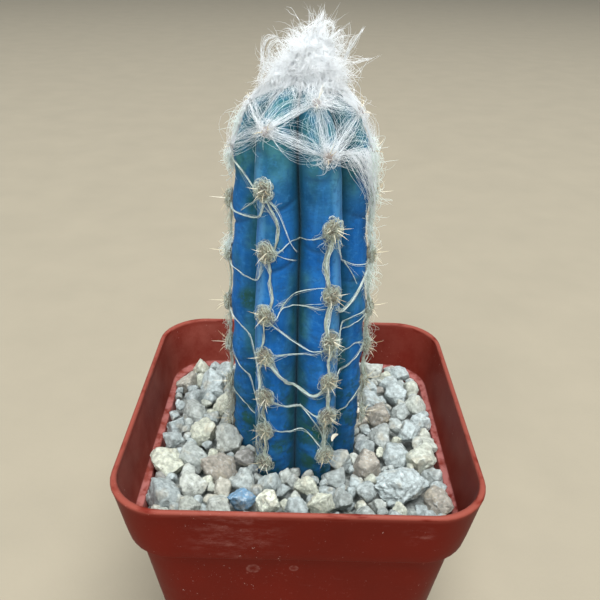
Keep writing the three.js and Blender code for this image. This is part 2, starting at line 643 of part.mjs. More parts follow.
function buildPlant() {
  const plant = new THREE.Group();
  const hole = setInPot(buildStemHole());
  const room = buildStoneRoom(hole);
  const loose = buildLooseStones(room);
  const looseGrown = loose.map((stone) => stone.grown);
  plant.add(meshOf("pot", buildPot(), "pot"));
  plant.add(meshOf("soil", buildSoil(hole), "soil"));
  plant.add(meshOf("gravel_bed", buildBed(room, looseGrown), "pale"));
  loose.forEach(({ name, tone, solid }) => plant.add(meshOf(name, solid, tone)));
  plant.add(meshOf("stem", setInPot(buildStem()), "stem"));

  // A row's areoles give way to the gravel, its strands give way to the other rows, and the crown to them all.
  const ground = wasm.Manifold.union([...looseGrown, ...bedStones().map((stone) => buildStone(stone, GAP))]);
  const grownAreoles = RIB_ANGLES.map((_, rib) => buildAreoles(rib, GAP));
  RIB_ANGLES.forEach((_, rib) => {
    const strands = buildStrands(rib, 0).subtract(grownAreoles[(rib + 1) % RIB_ANGLES.length]);
    const row = setInPot(buildAreoles(rib, 0).add(strands)).subtract(ground);
    plant.add(meshOf("areole_row_" + (rib + 1), largestBody(row), "areole"));
  });
  const grownStrands = RIB_ANGLES.map((_, rib) => buildStrands(rib, GAP));
  const crown = buildCrown().subtract(wasm.Manifold.union([...grownAreoles, ...grownStrands]));
  plant.add(meshOf("crown_wool", setInPot(largestBody(crown)), "crown"));
  return plant;
}

export default buildPlant();
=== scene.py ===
# The finished look of a young woolly torch cactus in a square pot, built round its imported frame.
# Shapes are worked out in millimetres in the row frame, and become metres where their meshes are made.
import math

import bmesh
import bpy
import numpy as np
from mathutils import Euler, Matrix, Vector, noise


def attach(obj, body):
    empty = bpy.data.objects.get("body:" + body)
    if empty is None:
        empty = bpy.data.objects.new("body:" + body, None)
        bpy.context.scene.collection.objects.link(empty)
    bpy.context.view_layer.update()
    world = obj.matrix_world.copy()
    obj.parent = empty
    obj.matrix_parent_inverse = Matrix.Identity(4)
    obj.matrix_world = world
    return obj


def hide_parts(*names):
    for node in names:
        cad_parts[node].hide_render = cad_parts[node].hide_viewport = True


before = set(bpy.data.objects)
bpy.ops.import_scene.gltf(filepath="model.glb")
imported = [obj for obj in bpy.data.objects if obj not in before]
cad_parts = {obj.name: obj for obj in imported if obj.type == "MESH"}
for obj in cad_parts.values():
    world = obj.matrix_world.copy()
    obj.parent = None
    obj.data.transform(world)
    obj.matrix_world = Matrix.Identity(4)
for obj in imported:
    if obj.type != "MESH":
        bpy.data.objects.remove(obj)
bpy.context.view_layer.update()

MM = 0.001
BODY = "root"

# The camera, fitted to the rim of the pot: place in mm, angles in radians, focal length in pixels of 600
EYE = (-0.84, -159.32, 197.61)
AZIMUTH, ELEVATION, ROLL = -0.0020, 0.4786, 0.0246
FOCAL, FRAME_WIDTH, SENSOR = 688.8, 600, 36
CLIP_START, CLIP_END = 0.01, 20  # in metres

# The pot
POT_HEIGHT = 84
POT_WALL = 1.4
POT_BASE = 2
RIM_HALF = 45
BAND_FOOT = 67
BAND_HALF = 42.5
BODY_TOP_HALF = 40.6
BODY_BOTTOM_HALF = 31.2
LEDGE = BAND_FOOT + POT_WALL
CORNER_SHARE, CORNER_STEPS = 0.3, 10
DRAIN_RADIUS, DRAIN_SPREAD, DRAIN_CUT = 3.5, 17, 8
WATER_SPOTS = [((-10.5, -40.5, 61), 1.7), ((-0.5, -40.5, 61.5), 1.2)]  # dried on the front: place and radius
SMEARS = [((-14, -44, 76), 15), ((28, -44, 77.5), 5), ((-36, -42, 60), 6)]  # scuffed patches on the front
FOOT_WIDTH, FOOT_RECESS = 5, 0.7

# The stem
STEM_X = -0.9
STEM_RADIUS, SHOULDER_RADIUS, ROOT_RADIUS = 17.2, 16.2, 8
STEM_BASE, STEM_COLLAR, NARROWS_FROM, DOME_START, STEM_APEX = 50, 66, 112, 147, 170
DOME_POWER = 2.9
GROOVE_DEPTH = 6
RIB_ROUNDING, RIB_POWER = 0.12, 1.2
SWELL, SWELL_REACH = 0.35, 6  # how far a crest swells at an areole, and over what height
RIB_ANGLES = np.array([-92, -26, 25.5, 86.5, 147, 207.5])  # degrees from the front to the right
TWIST = {"from": 140, "turn": -9}  # how far the ribs turn up to the apex, in degrees
# The heights of the areoles on each rib
AREOLES = [
    [76, 89, 101.5, 114, 128, 142, 154.5, 165],
    [74.5, 85, 95.5, 107.5, 119, 135, 149.5, 161.5],
    [77.5, 90, 100.5, 112.5, 124.5, 141, 157, 167],
    [80, 91.5, 102.5, 114, 129, 145, 155.5, 164],
    [75.5, 87, 98, 110, 123, 138, 152, 163],
    [78.5, 90, 101, 113, 126.5, 142.5, 155, 164.5],
]
WHITE_ABOVE = 151  # the wool of higher areoles is white
CREVICE = {"depth": 1.1, "width": 0.035}  # the tight fold at the bottom of each groove
PILLOW = 0.55  # how far the flanks swell between crest and groove
CREASE = {"below": 0.36, "depth": 0.5, "width": 0.5, "smile": 2.4, "reach": 0.5}  # folds below the areoles
PAINTED_HIGHLIGHT_SIDE = np.array([-1, -1, 1, 1, -1, 1])  # the side of each crest that its painted highlight stripe lies on
# Where the skin has points between a crest and the groove beside it, and its levels in the gravel
RIB_STEPS = np.array(
    [0, 0.05, 0.1, 0.17, 0.25, 0.34, 0.43, 0.52, 0.61, 0.7, 0.78, 0.85, 0.9, 0.94, 0.97, 0.988, 1]
)
BURIED_LEVELS = [STEM_BASE, 54, 58, 62, 64.5]
LEVEL_STEP, DOME_LEVELS = 0.5, 45
# Unevenness of the skin in mm, and the heights between which its wrinkles grow deeper downward
RELIEF = {"waves": 0.28, "wrinkles": 0.07, "low_wrinkles": 0.22, "smooth_above": 104, "rough_below": 74}
# Green patches on the flanks: place and radius
GREEN_PATCHES = [
    ((-13.6, -5.1, 117.5), 4.5), ((-14.3, -4.9, 80), 3), ((8, -14, 85), 4), ((2.9, -14.5, 74), 4),
    ((12, -9, 97), 3), ((-4.7, -15.2, 79), 3), ((8.5, -14.5, 78), 5), ((3, -15.5, 84), 6),
    ((-1, -14.5, 93), 4), ((-9, -13.5, 86), 4), ((13, -8, 82), 4),
]

# The gravel
GRAVEL_TOP = 69
STONE_CENTRE = 70.6
STONE_JITTER = {"below": 0.6, "range": 1.4}
LOOSE_RISE = 0.6
GRIT_TOP, GRIT_BASE, GRIT_TONE = 66, 61.3, 0.6
WALL_GAP = 0.3
FACETS, ROUND_FACETS = 13, 30  # flat faces that cut a broken stone, and a rounder one
CUTS = (0.6, 0.9)  # how near those faces lie to the middle
EDGE_POWER = 70  # a higher power leaves sharper edges between them
STONE_ROUGHNESS = {"coarse": 0.09, "fine": 0.08}
STONE_EDGE, POT_EDGE = 32, 38  # faces that meet at more than this many degrees are shaded apart
# Each kind of stone: its place on the ramp of stone colours, and its material slot
STONE_KINDS = {
    "pale": (0.0, "gravel_pale"),
    "cream": (0.72, "gravel_cream"),
    "bright": (0.78, "gravel_cream"),
    "tan": (0.88, "gravel_tan"),
    "blue": (1.0, "gravel_blue"),
}
# Places on that ramp for the stones of the bed, from pale grey to tan, and the share of stones in each
BED_TONES = [(0, 0.35), (0.35, 0.66), (0.68, 0.74), (0.84, 0.9)]
BED_SHARES = [0.46, 0.28, 0.18, 0.08]
# The stones that stand out: kind, x and y, half sizes, and turn in degrees
LOOSE_STONES = {
    "stone_large_pale": ("pale", 27.4, -20.7, (8, 6, 4.8), 10),
    "stone_blue_grey": ("blue", -14.2, -26, (3.9, 3, 2.8), 0),
    "stone_cream_block": ("bright", -7.6, -28, (3.1, 2.9, 4.6), 5),
    "stone_tan_left": ("tan", -20.6, -15.4, (4.4, 4.2, 4), 40),
    "stone_tan_right": ("tan", 19, -12.8, (3.9, 4.2, 4.2), 70),
    "stone_cream_left": ("cream", -27.4, 0.3, (4.3, 4, 3.8), 20),
    "stone_cream_back": ("cream", -22.8, 13.6, (3.6, 3.8, 4.4), 0),
    "stone_cream_front": ("cream", 6.3, -28.6, (3.4, 3.3, 3.6), 30),
    "stone_tan_corner": ("tan", 36, -26.6, (3.6, 4.2, 3.6), 0),
    "stone_tan_rear": ("tan", 24.6, 9.6, (4.3, 4.1, 4), 50),
}
ROUND_STONES = ("stone_large_pale", "stone_blue_grey")
# Large stones of the bed that the photo shows: x, y and half size
BED_STONES = [
    [-33, 34, 3], [-28, 25, 4], [-33, 18, 3], [-32, 10, 4], [-36, 3, 3], [-36, -4, 3],
    [-36, -12, 5], [-29, -10, 4], [-14, -20, 3], [-35, -24, 5], [-33, -33, 3], [-27, -31, 3],
    [-27, -23, 4], [-20, -30, 3], [24, 34, 4], [22, 24, 3], [33, 32, 3], [30, 21, 4],
    [36, 16, 3], [31, 12, 3], [36, 7, 3], [24, 0, 4], [27, -8, 4], [34, -9, 5],
    [12, -26, 3], [18, -23, 3], [17, -31, 3], [0, -30, 3], [2, -22, 3], [-4, -22, 2],
]
FILL = {"seed": 20, "tries": 2000, "smallest": 3.2, "largest": 4.6}
# Layers of smaller stones: tries, least and greatest half size, level, and how near they lie for their sizes
STONE_LAYERS = [(3500, 2.3, 3.2, 70.2, 0.9), (9000, 1.3, 2.1, 70.2, 0.82), (2500, 2.4, 3.6, 67.2, 0.92)]

# Wool that crosses the grooves of the front: thickness in mm, then the route as degrees from the front
# and heights. It goes straight from place to place, so a strand with few places hangs free over a groove.
FRONT_STRANDS = [
    (0.2, [(-24, 147), (-18, 144), (-9, 137), (-2, 133.5)]),
    (0.22, [(-23, 135), (-17, 135), (-9, 137), (-1, 137), (12, 138), (25, 140)]),
    (0.18, [(-23, 134), (-19, 134.5), (-2, 131.5)]),
    (0.2, [(-24, 118.5), (-18, 118), (-14, 120.5), (-5, 120.5), (24, 121)]),
    (0.18, [(-15, 120.5), (-5, 123.5), (18, 126.5), (25, 125.5)]),
    (0.3, [(-25, 118), (-15, 114.5), (7, 109), (19, 109.5), (26, 111.5)]),
    (0.18, [(-25, 108), (7, 107.5), (19, 109), (26, 112.5)]),
    (0.75, [(-25, 107.5), (-15, 101.5), (-3, 97.5), (15, 96), (25, 99)]),
    (0.32, [(-25, 95.5), (-11, 92), (5, 91.5), (17, 90), (25, 90.5)]),
    (0.2, [(4, 91.5), (13, 89.5), (22, 85), (26, 79.5)]),
    (0.16, [(-24, 86.5), (-8, 83.5), (9, 84.5), (25, 78.5)]),
    (0.35, [(-93, 152.5), (-29, 147)]),
    (0.5, [(-92, 142.5), (-83, 140.5), (-73, 140), (-36, 142.5), (-29, 146.5)]),
    (0.22, [(-73, 141), (-30, 148)]),
    (0.3, [(-93, 127), (-84, 125.5), (-75, 125), (-68, 124), (-36, 127), (-30, 132)]),
    (0.2, [(-92, 114), (-84, 112), (-77, 110.5), (-66, 108), (-36, 104.5), (-30, 98)]),
    (0.22, [(-91, 101), (-75, 97), (-66, 95), (-36, 92), (-31, 87)]),
    (0.2, [(-91, 89), (-72, 86), (-60, 82), (-31, 76)]),
    (0.25, [(29, 139), (36, 134), (58, 129.5), (67, 128), (80, 127.5), (88, 129.5)]),
    (0.18, [(60, 129), (65, 126), (70, 122.5)]),
    (0.6, [(88, 129), (81, 125.5), (73, 122), (66, 118.5), (46, 117.5), (30, 121)]),
    (0.25, [(29, 110), (40, 109), (60, 112.5), (72, 114), (86, 114)]),
    (0.2, [(29, 111.5), (60, 110.5), (72, 112), (86, 113)]),
    (0.25, [(86, 105), (72, 101), (60, 98), (34, 97.5), (28, 99.5)]),
    (0.2, [(86, 103), (72, 105.5), (62, 104), (36, 106.5), (29, 111)]),
    (0.22, [(86, 92), (72, 88), (62, 85), (29, 89.5)]),
]
# Strands at the back: rib, areole on it, areole on the next rib, and sag at mid-span
BACK_STRANDS = [
    (3, 5, 4, 2), (3, 3, 3, 2), (3, 1, 1, 1), (4, 5, 4, 2), (4, 3, 3, -1), (4, 2, 1, 1), (5, 5, 4, 1),
    (5, 3, 3, 3), (5, 2, 1, 1),
]
# The rope from each tan areole up to the next: half its width in mm, and its sway in degrees at the middle
ROPES = [
    [(0.5, 1), (0.4, -1), (0.25, 1), (0.2, -2), (0.25, 1)],
    [(0.5, 1), (0.3, -1), (0.2, -6), (0.1, -3), (0.15, 3), (0.15, 8)],
    [(0.5, -1), (0.45, 1), (0.35, 1), (0.65, -2), (0.6, -4)],
    [(0.45, 2), (0.4, -1), (0.35, 1), (0.4, -1), (0.4, 1)],
    [(0.7, 2), (0.5, -2), (0.5, 1), (0.6, -2), (0.7, 2)],
    [(0.6, -1), (0.5, 2), (0.6, 1), (0.5, -2), (0.8, 1)],
]
# Loose wool along a rib: top and bottom height, number of hairs, greatest length in mm, and tones
MATS = [
    [(163, 157, 60, 7, (0.9, 1)), (152, 147, 150, 5, (0.85, 1)), (141, 134, 40, 5, (0.5, 0.9)),
     (130, 125, 150, 5, (0.9, 1)), (114, 99, 40, 4, (0.2, 0.7)), (90, 76, 110, 5, (0, 0.4))],
    [(86, 74, 50, 4, (0.1, 0.6))],
    [(142, 136, 60, 4, (0.3, 0.8)), (115, 100, 60, 4, (0.2, 0.7)), (92, 76, 60, 4, (0.1, 0.6))],
    [(155, 146, 190, 8, (0.8, 1)), (147, 130, 250, 8, (0.75, 1)), (129, 113, 170, 7, (0.6, 1)),
     (114, 100, 90, 5, (0.3, 0.8)), (92, 78, 60, 4, (0.1, 0.6))],
    [(155, 138, 130, 8, (0.7, 1)), (138, 112, 120, 6, (0.5, 1)), (100, 76, 50, 4, (0.1, 0.6))],
    [(157, 142, 150, 8, (0.7, 1)), (142, 114, 120, 6, (0.5, 1)), (100, 78, 50, 4, (0.1, 0.6))],
]
MAT_LEAN = [0, 0, 0, -2, 0, 0]  # how far a rib's mats lie to the side of its crest, in degrees
# Locks of the tuft that stand out: hairs, and the route as x and z in mm
WISPS = [
    (22, [(8.4, 173.5), (10, 177), (11.2, 179.3), (12.8, 181.6)]),
    (10, [(8.6, 174.3), (12, 174.2), (15, 175)]),
    (2, [(10.5, 171), (13.3, 173.6), (17, 176)]),
    (2, [(9.5, 174), (12, 171.4), (10.6, 168)]),
    (12, [(3, 179), (3.4, 182.4), (3.8, 184.6)]),
    (12, [(0, 180), (2.4, 182), (3.9, 184.2)]),
    (14, [(2.4, 179.4), (4.4, 182), (6, 181.2), (6.2, 178.6)]),
    (10, [(5, 177), (7.4, 180), (8, 177.6), (7, 175)]),
    (9, [(3, 178), (6.6, 178.6), (8.4, 175.6)]),
    (16, [(-8.4, 171.5), (-9.2, 175), (-8.2, 178.4), (-5.2, 178.6)]),
    (12, [(-7, 173), (-7.8, 176.4), (-6, 178.2), (-4, 177.4)]),
    (14, [(-9.6, 168), (-9.2, 171), (-7.4, 174.6)]),
    (2, [(-1, 181), (-2.6, 183.4), (-4.4, 184.6)]),
    (2, [(7.6, 177), (9.6, 179.4), (9.4, 182.4)]),
]
# Dry flakes by rib: height, degrees beside the crest, tilt in radians, and half length in mm
FLAKES = {2: [(81.5, 11, 0.6, 1.3)], 3: [(83, -9, -0.9, 1.2)]}
CORD_PITCH = 16  # the length of one turn of the fibres of a cord, in mm
SPLAY_REACH = 4  # a strand that ends nearer to a cushion than this parts there
WHISKER_SPINES = 1  # finer spines of a tan areole, between those of the part's source
SPINE_RISE = {"central": 1.25, "low": 0.45, "spread": 0.35}
SPINE = {"length": 4.2, "radius": 0.1, "tip": 0.04, "root": 0.9}
CUSHION = {"across": 2.2, "tall": 2.35, "deep": 1.4, "fibres": 180, "white_fibres": 40, "white_size": 0.5}
WHITE_SPINES = {"rise": (0.2, 0.9), "length": (2, 4.2)}
# Curls round a cushion: number, range of length, turn in radians per mm, greatest angle from the skin
CURLS = {
    "curl": (26, (0.9, 2.6), 0.7, 1.2),
    "low curl": (26, (1.2, 2.4), 0.9, 0.3),
    "star": (44, (1.5, 4.6), 0.4, 0.45),
}
# The lobes of the tuft: middle and half sizes in mm, number of locks, and how far they stand out
TUFT = [
    ((1.4, 0, 172.5), (6.2, 5.2, 6.2), 265, 0.4),
    ((-3.8, 0.3, 171), (4.2, 4.2, 3.8), 90, 0.1),
    ((5.8, -0.3, 170.5), (4.2, 4.4, 3.8), 90, 0.1),
    ((2.4, 0, 176.6), (3.4, 3.2, 3.4), 60, 0.5),
]
LOBE_CORE = 0.72  # the size of a lobe's felted middle for that of the lobe
# The locks of the tuft: hairs in each, where their roots lie in the lobe, length and how far hairs part
LOCK = {"hairs": 8, "roots": (0.62, 0.95), "length": (4, 10), "spread": 0.24, "part": 0.1, "bend": 0.36}
# Curly puffs along a rib: hairs in each, the share that reach the next one, and the share that stand free
PUFF = {"hairs": 16, "reach_next": 0.3, "free": 0.15, "bow": 1.2, "stand": 1.1}
TUFT_FOOT = (0.6, 0, 171)  # the middle of the place where the veils end
VEILS = [110, 26, 70, 110, 100, 100]  # hairs from each rib's topmost areoles up into the tuft
WEB_REACH = 18  # the longest strand between white areoles
# Hairs of each kind in the web: those of a net for each pair of cushions
WEB_HAIRS = {"net": 26, "loose net": 30, "scattered": 230, "mantle": 230, "skirt": 170}
TOP_OF_RIB = 13.3  # the topmost areoles lie nearer to the stem's axis than this
# Kinds of hair: radius at the root and at the tip in mm, and the range of tones, from dark to white
HAIR = {
    "curl": (0.038, 0.02, (0.3, 1)),
    "low curl": (0.045, 0.03, (0.2, 0.8)),
    "rope": (0.08, 0.05, (0.4, 0.9)),
    "stray": (0.03, 0.02, (0.6, 1)),
    "splay": (0.035, 0.03, (0.5, 0.9)),
    "lock": (0.055, 0.022, (0.6, 1)),
    "wisp": (0.045, 0.02, (0.6, 1)),
    "white cushion": (0.05, 0.03, (0, 0.5)),
    "star": (0.036, 0.02, (0.4, 1)),
    "net": (0.036, 0.0216, (0.4, 1)),
    "loose net": (0.028, 0.0168, (0.4, 1)),
    "veil": (0.036, 0.022, (0.4, 1)),
    "scattered": (0.028, 0.02, (0.4, 1)),
    "mantle": (0.036, 0.02, (0.4, 1)),
    "skirt": (0.04, 0.025, (0.3, 0.9)),
    "spine": (SPINE["radius"], SPINE["tip"], (0, 1)),
}

# Colours, as linear red, green and blue. A ramp gives the place of each on it.
SKIN_RAMP = [(0.3, (0.004, 0.056, 0.185)), (0.5, (0.007, 0.080, 0.265)), (0.7, (0.013, 0.110, 0.32))]
# crest is a painted highlight stripe; crease, flank and groove are painted shade in the creases, beside the
# grooves and in them
SKIN = {
    "dark green": (0.006, 0.045, 0.055), "pale green": (0.045, 0.15, 0.155), "streak": (0.025, 0.145, 0.37),
    "crest": (0.085, 0.265, 0.47), "worn": (0.012, 0.065, 0.17), "bloom": (0.045, 0.20, 0.42),
    "dome": (0.03, 0.125, 0.145), "low": (0.008, 0.04, 0.07), "blotch": (0.010, 0.045, 0.04),
    "patch": (0.014, 0.055, 0.04), "crease": (0.012, 0.05, 0.12), "flank": (0.004, 0.04, 0.06),
    "groove": (0.001, 0.016, 0.02),
}
STONE_RAMP = [
    (0.0, (0.47, 0.54, 0.54)), (0.3, (0.37, 0.42, 0.415)), (0.5, (0.49, 0.51, 0.45)),
    (0.65, (0.33, 0.37, 0.365)), (0.72, (0.60, 0.62, 0.50)), (0.78, (0.94, 0.98, 0.82)),
    (0.88, (0.36, 0.325, 0.27)), (1.0, (0.15, 0.30, 0.46)),
]
STONE = {
    "stain": (0.50, 0.43, 0.30), "pit": (0.16, 0.17, 0.155), "grain": (0.2, 0.2, 0.19),
    "pale": (0.68, 0.72, 0.71), "speck": (0.13, 0.12, 0.11),
}
POT_RAMP = [(0.3, (0.084, 0.0058, 0.0026)), (0.7, (0.108, 0.0083, 0.0040))]
# worn is real wear with a painted highlight on the rim; inside is a dusty film with painted light on the left
POT = {
    "dust": (0.34, 0.13, 0.10), "speck": (0.55, 0.40, 0.36), "scuff": (0.40, 0.22, 0.19),
    "worn": (0.34, 0.11, 0.08), "ledge": (0.36, 0.15, 0.14), "water": (0.45, 0.26, 0.22),
    "smear": (0.40, 0.20, 0.17), "inside": (0.24, 0.075, 0.055),
}
TAN_RAMP = [
    (0.15, (0.075, 0.06, 0.055)), (0.42, (0.25, 0.25, 0.16)), (0.66, (0.42, 0.51, 0.40)),
    (0.85, (0.78, 0.90, 0.85)),
]
WHITE_RAMP = [(0.2, (0.16, 0.135, 0.12)), (0.42, (0.85, 0.93, 0.985)), (0.6, (0.94, 0.98, 1))]
SPINE_RAMP = [(0.2, (0.42, 0.33, 0.19)), (0.55, (0.72, 0.64, 0.44)), (0.9, (0.85, 0.80, 0.66))]
SOIL_RAMP = [(0.3, (0.012, 0.009, 0.006)), (0.6, (0.05, 0.034, 0.022)), (0.8, (0.12, 0.09, 0.06))]
FLOOR_RAMP = [(0.3, (0.225, 0.196, 0.142)), (0.7, (0.242, 0.21, 0.152))]

# The stage, in metres. Each lamp has a place, a size and a power in watts.
FLOOR_HALF = 8
SKY = {"colour": (0.9, 0.96, 1.0, 1), "strength": 0.44}
LAMPS = {"overhead": ((0.3, -0.75, 3.4), 2.6, 265), "front": ((-0.5, -2, 1.2), 1.6, 44)}
LAMP_TARGET, LAMP_COLOUR = (0, 0, 0.1), (0.97, 0.99, 1.0)

MASK = 0xFFFFFFFF  # keeps the seeded numbers to 32 bits, as in the part's source


# Numbers
def seeded_random(seed):
    """The same repeatable stream of numbers from 0 to 1 as in the part's source."""
    state = seed & MASK

    def draw():
        nonlocal state
        state = (state + 0x6D2B79F5) & MASK
        mixed = ((state ^ (state >> 15)) * (1 | state)) & MASK
        mixed = ((mixed + (mixed ^ (mixed >> 7)) * (61 | mixed)) & MASK) ^ mixed
        return (mixed ^ (mixed >> 14)) / 4294967296

    return draw


def unit(vectors):
    return vectors / np.maximum(np.linalg.norm(vectors, axis=-1, keepdims=True), 1e-9)


def smoothstep(value, low, high):
    share = np.clip((value - low) / (high - low), 0, 1)
    return share * share * (3 - 2 * share)


def fractal(points, size, octaves):
    """Noise at each point, with features of this size in mm."""
    rows = points.reshape(-1, 3)
    return np.array([noise.fractal(Vector(row) / size, 1.0, 2.0, octaves) for row in rows])


# Meshes
def in_scene(name, data):
    """A new object in the scene."""
    made = bpy.data.objects.new(name, data)
    bpy.context.scene.collection.objects.link(made)
    return made


def piece(name, points, faces, values, look, slot, node, sharp=None):
    """A named piece of the object from points in mm and triangles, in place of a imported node.

    Each of the values is a number for each point, under the name that the material reads."""
    mesh = bpy.data.meshes.new(name)
    mesh.from_pydata((np.asarray(points) * MM).tolist(), [], np.asarray(faces).tolist())
    mesh.shade_smooth()
    if sharp:
        mesh.set_sharp_from_angle(angle=math.radians(sharp))
    for key, numbers in values.items():
        mesh.attributes.new(key, "FLOAT", "POINT").data.foreach_set("value", np.asarray(numbers, np.float32))
    mesh.materials.append(look)
    made = in_scene(name, mesh)
    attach(made, BODY)
    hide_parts(node)
    return made


def plant_piece(name, points, *rest):
    """A piece that is made round the stem's own axis."""
    return piece(name, points + (STEM_X, 0, 0), *rest)


def joined(parts):
    """One shape from parts of points, triangles and tone: its points, its triangles and its points' tones."""
    points, faces, tones, total = [], [], [], 0
    for some_points, some_faces, tone in parts:
        points.append(some_points)
        faces.append(some_faces + total)
        tones.append(np.broadcast_to(tone, len(some_points)))
        total += len(some_points)
    return np.concatenate(points), np.concatenate(faces), {"tone": np.concatenate(tones)}


def capped(values):
    """The values of a loft's rings, with a value for the middle of each of its two end fans."""
    return {key: np.append(numbers, [0, 0]) for key, numbers in values.items()}


def loft(rings):
    """Triangles over a stack of closed rings, with a fan at each end."""
    levels, sides = rings.shape[:2]
    here = np.arange(levels * sides).reshape(levels, sides)
    a, b = here[:-1], np.roll(here, -1, 1)[:-1]
    c, d = np.roll(here, -1, 1)[1:], here[1:]
    skin = np.concatenate([np.stack([a, b, c], -1).reshape(-1, 3), np.stack([a, c, d], -1).reshape(-1, 3)])
    foot, top = levels * sides, levels * sides + 1
    low = np.stack([np.full(sides, foot), np.roll(here[0], -1), here[0]], -1)
    high = np.stack([np.full(sides, top), here[-1], np.roll(here[-1], -1)], -1)
    points = np.concatenate([rings.reshape(-1, 3), rings[0].mean(0)[None], rings[-1].mean(0)[None]])
    return points, np.concatenate([skin, low, high])


def ball(detail):
    """The points and triangles of a round ball of radius 1."""
    shape = bmesh.new()
    bmesh.ops.create_icosphere(shape, subdivisions=detail, radius=1)
    points = np.array([vertex.co for vertex in shape.verts])
    faces = np.array([[vertex.index for vertex in face.verts] for face in shape.faces])
    shape.free()
    return points, faces


BALLS = {detail: ball(detail) for detail in (3, 4, 5)}


# The stem's shape
def rib_at(degrees):
    """The nearest rib to each angle, and how far the angle is from its crest to a groove, from -1 to 1."""
    off = (np.asarray(degrees)[..., None] - RIB_ANGLES + 180) % 360 - 180
    ahead = (np.roll(RIB_ANGLES, -1) - RIB_ANGLES) % 360 / 2
    share = np.where(off < 0, off / np.roll(ahead, 1), off / ahead)
    rib = np.abs(share).argmin(-1)
    return rib, np.take_along_axis(share, rib[..., None], -1)[..., 0]


def twist_at(z):
    return TWIST["turn"] * np.clip((z - TWIST["from"]) / (STEM_APEX - TWIST["from"]), 0, 1)


def envelope(z):
    """The radius of the stem over its crests."""
    rise = np.clip((z - DOME_START) / (STEM_APEX - DOME_START), 0, 1)
    drop = np.clip((STEM_COLLAR - z) / (STEM_COLLAR - STEM_BASE), 0, 1)
    narrowed = STEM_RADIUS + (SHOULDER_RADIUS - STEM_RADIUS) * smoothstep(z, NARROWS_FROM, DOME_START)
    narrowed = narrowed + (ROOT_RADIUS - STEM_RADIUS) * drop**1.6
    return np.where(z > DOME_START, SHOULDER_RADIUS * np.sqrt(1 - rise**DOME_POWER), narrowed)


def blunt(value):
    """The value, rounded off near 0."""
    return np.hypot(value, RIB_ROUNDING) - RIB_ROUNDING


def stem_radius(degrees, z, extra=0.0):
    """The radius of the skin; extra is added to it, in mm, where the ribs are at their full depth."""
    rib, share = rib_at(degrees - twist_at(z))
    across = np.abs(share)
    depth = GROOVE_DEPTH * (blunt(across) / blunt(1)) ** RIB_POWER
    crevice = CREVICE["depth"] * np.exp(-((1 - across) / CREVICE["width"]))
    depth = depth + crevice - PILLOW * np.sin(np.pi * across)
    heights = np.array(AREOLES)[rib]
    nearest = np.abs(heights - np.asarray(z)[..., None]).min(-1)
    swell = SWELL * np.cos(np.minimum(1, nearest / SWELL_REACH) * np.pi) * (1 - across)
    ribbed = smoothstep(z, STEM_BASE, STEM_COLLAR)
    return envelope(z) * (1 + (swell - depth + extra) * ribbed / STEM_RADIUS)


def from_front(degrees, distance, z):
    """Places by their angle from the front, their distance from the stem's axis and their height."""
    turn = np.radians(degrees)
    return np.stack(np.broadcast_arrays(distance * np.sin(turn), -distance * np.cos(turn), z), -1)


def outward(points):
    """The direction away from the stem at each point."""
    core = np.zeros_like(points)
    core[..., 2] = np.minimum(points[..., 2], DOME_START)
    return unit(points - core)


def off_the_skin(points, lift):
    """The points, moved straight out or up where they are nearer to the skin than lift."""
    x, y, z = np.moveaxis(points, -1, 0)
    distance = np.hypot(x, y)
    degrees = np.degrees(np.arctan2(x, -y))
    skin = stem_radius(degrees, z) + lift
    inward = np.minimum(1, distance / SHOULDER_RADIUS)
    top = DOME_START + (STEM_APEX - DOME_START) * (1 - inward**2) ** (1 / DOME_POWER)
    inside = (distance < skin) & (z < top + lift)
    lifted = inside & (top + lift - z < skin - distance)
    pushed = from_front(degrees, np.where(inside & ~lifted, skin, distance), z)
    pushed[..., 2] = np.where(lifted, top + lift, z)
    return pushed


def areole(rib, index):
    """The place of an areole on its crest, and its outward, sideways and upward directions."""
    z, step = AREOLES[rib][index], 0.5
    degrees = RIB_ANGLES[rib] + twist_at(z)
    place = from_front(degrees, stem_radius(degrees, z), z)
    up = unit(from_front(degrees, stem_radius(degrees, z + step), z + step) - place)
    side = from_front(degrees + 90, 1.0, 0.0)
    return {"place": place, "out": unit(np.cross(side, up)), "side": side, "up": up}


def beside(spot, out, side=0.0, up=0.0):
    """Places that lie this far from an areole outward, sideways and upward."""
    out, side, up = (np.asarray(value)[..., None] for value in (out, side, up))
    return spot["place"] + out * spot["out"] + side * spot["side"] + up * spot["up"]


# Fibres
def fibres(paths, root, tip, sides):
    """Closed tubes that taper to a point along paths: an array of fibres by places by 3."""
    count, places = paths.shape[:2]
    along = unit(np.gradient(paths, axis=1))
    chord = unit(paths[:, -1] - paths[:, 0])
    across = unit(np.cross(chord, np.roll(chord, 1, -1) + 0.37))[:, None]
    side = unit(np.cross(along, across))
    up = np.cross(along, side)
    radii = np.linspace(np.broadcast_to(root, count), np.broadcast_to(tip, count), places - 1, axis=1)
    turns = np.arange(sides) * 2 * np.pi / sides
    ring = side[:, :-1, None] * np.cos(turns)[:, None] + up[:, :-1, None] * np.sin(turns)[:, None]
    rings = paths[:, :-1, None] + ring * radii[..., None, None]
    points = np.concatenate([rings.reshape(count, -1, 3), paths[:, -1:]], 1)
    faces = []
    for level in range(places - 2):
        for i in range(sides):
            a, b = level * sides + i, level * sides + (i + 1) % sides
            faces += [(a, b, b + sides), (a, b + sides, a + sides)]
    last = (places - 2) * sides
    faces += [(last + i, last + (i + 1) % sides, last + sides) for i in range(sides)]
    faces += [(0, i + 1, i) for i in range(1, sides - 1)]
    starts = np.arange(count) * points.shape[1]
    return points.reshape(-1, 3), (np.array(faces)[None] + starts[:, None, None]).reshape(-1, 3)


def wool(paths, hair, rng, sides=3):
    """A part of fibres along paths, each with a tone of its own, for hair of these radii and tones."""
    root, tip, tones = hair
    points, faces = fibres(paths, root, tip, sides)
    return points, faces, np.repeat(rng.uniform(*tones, len(paths)), len(points) // len(paths))


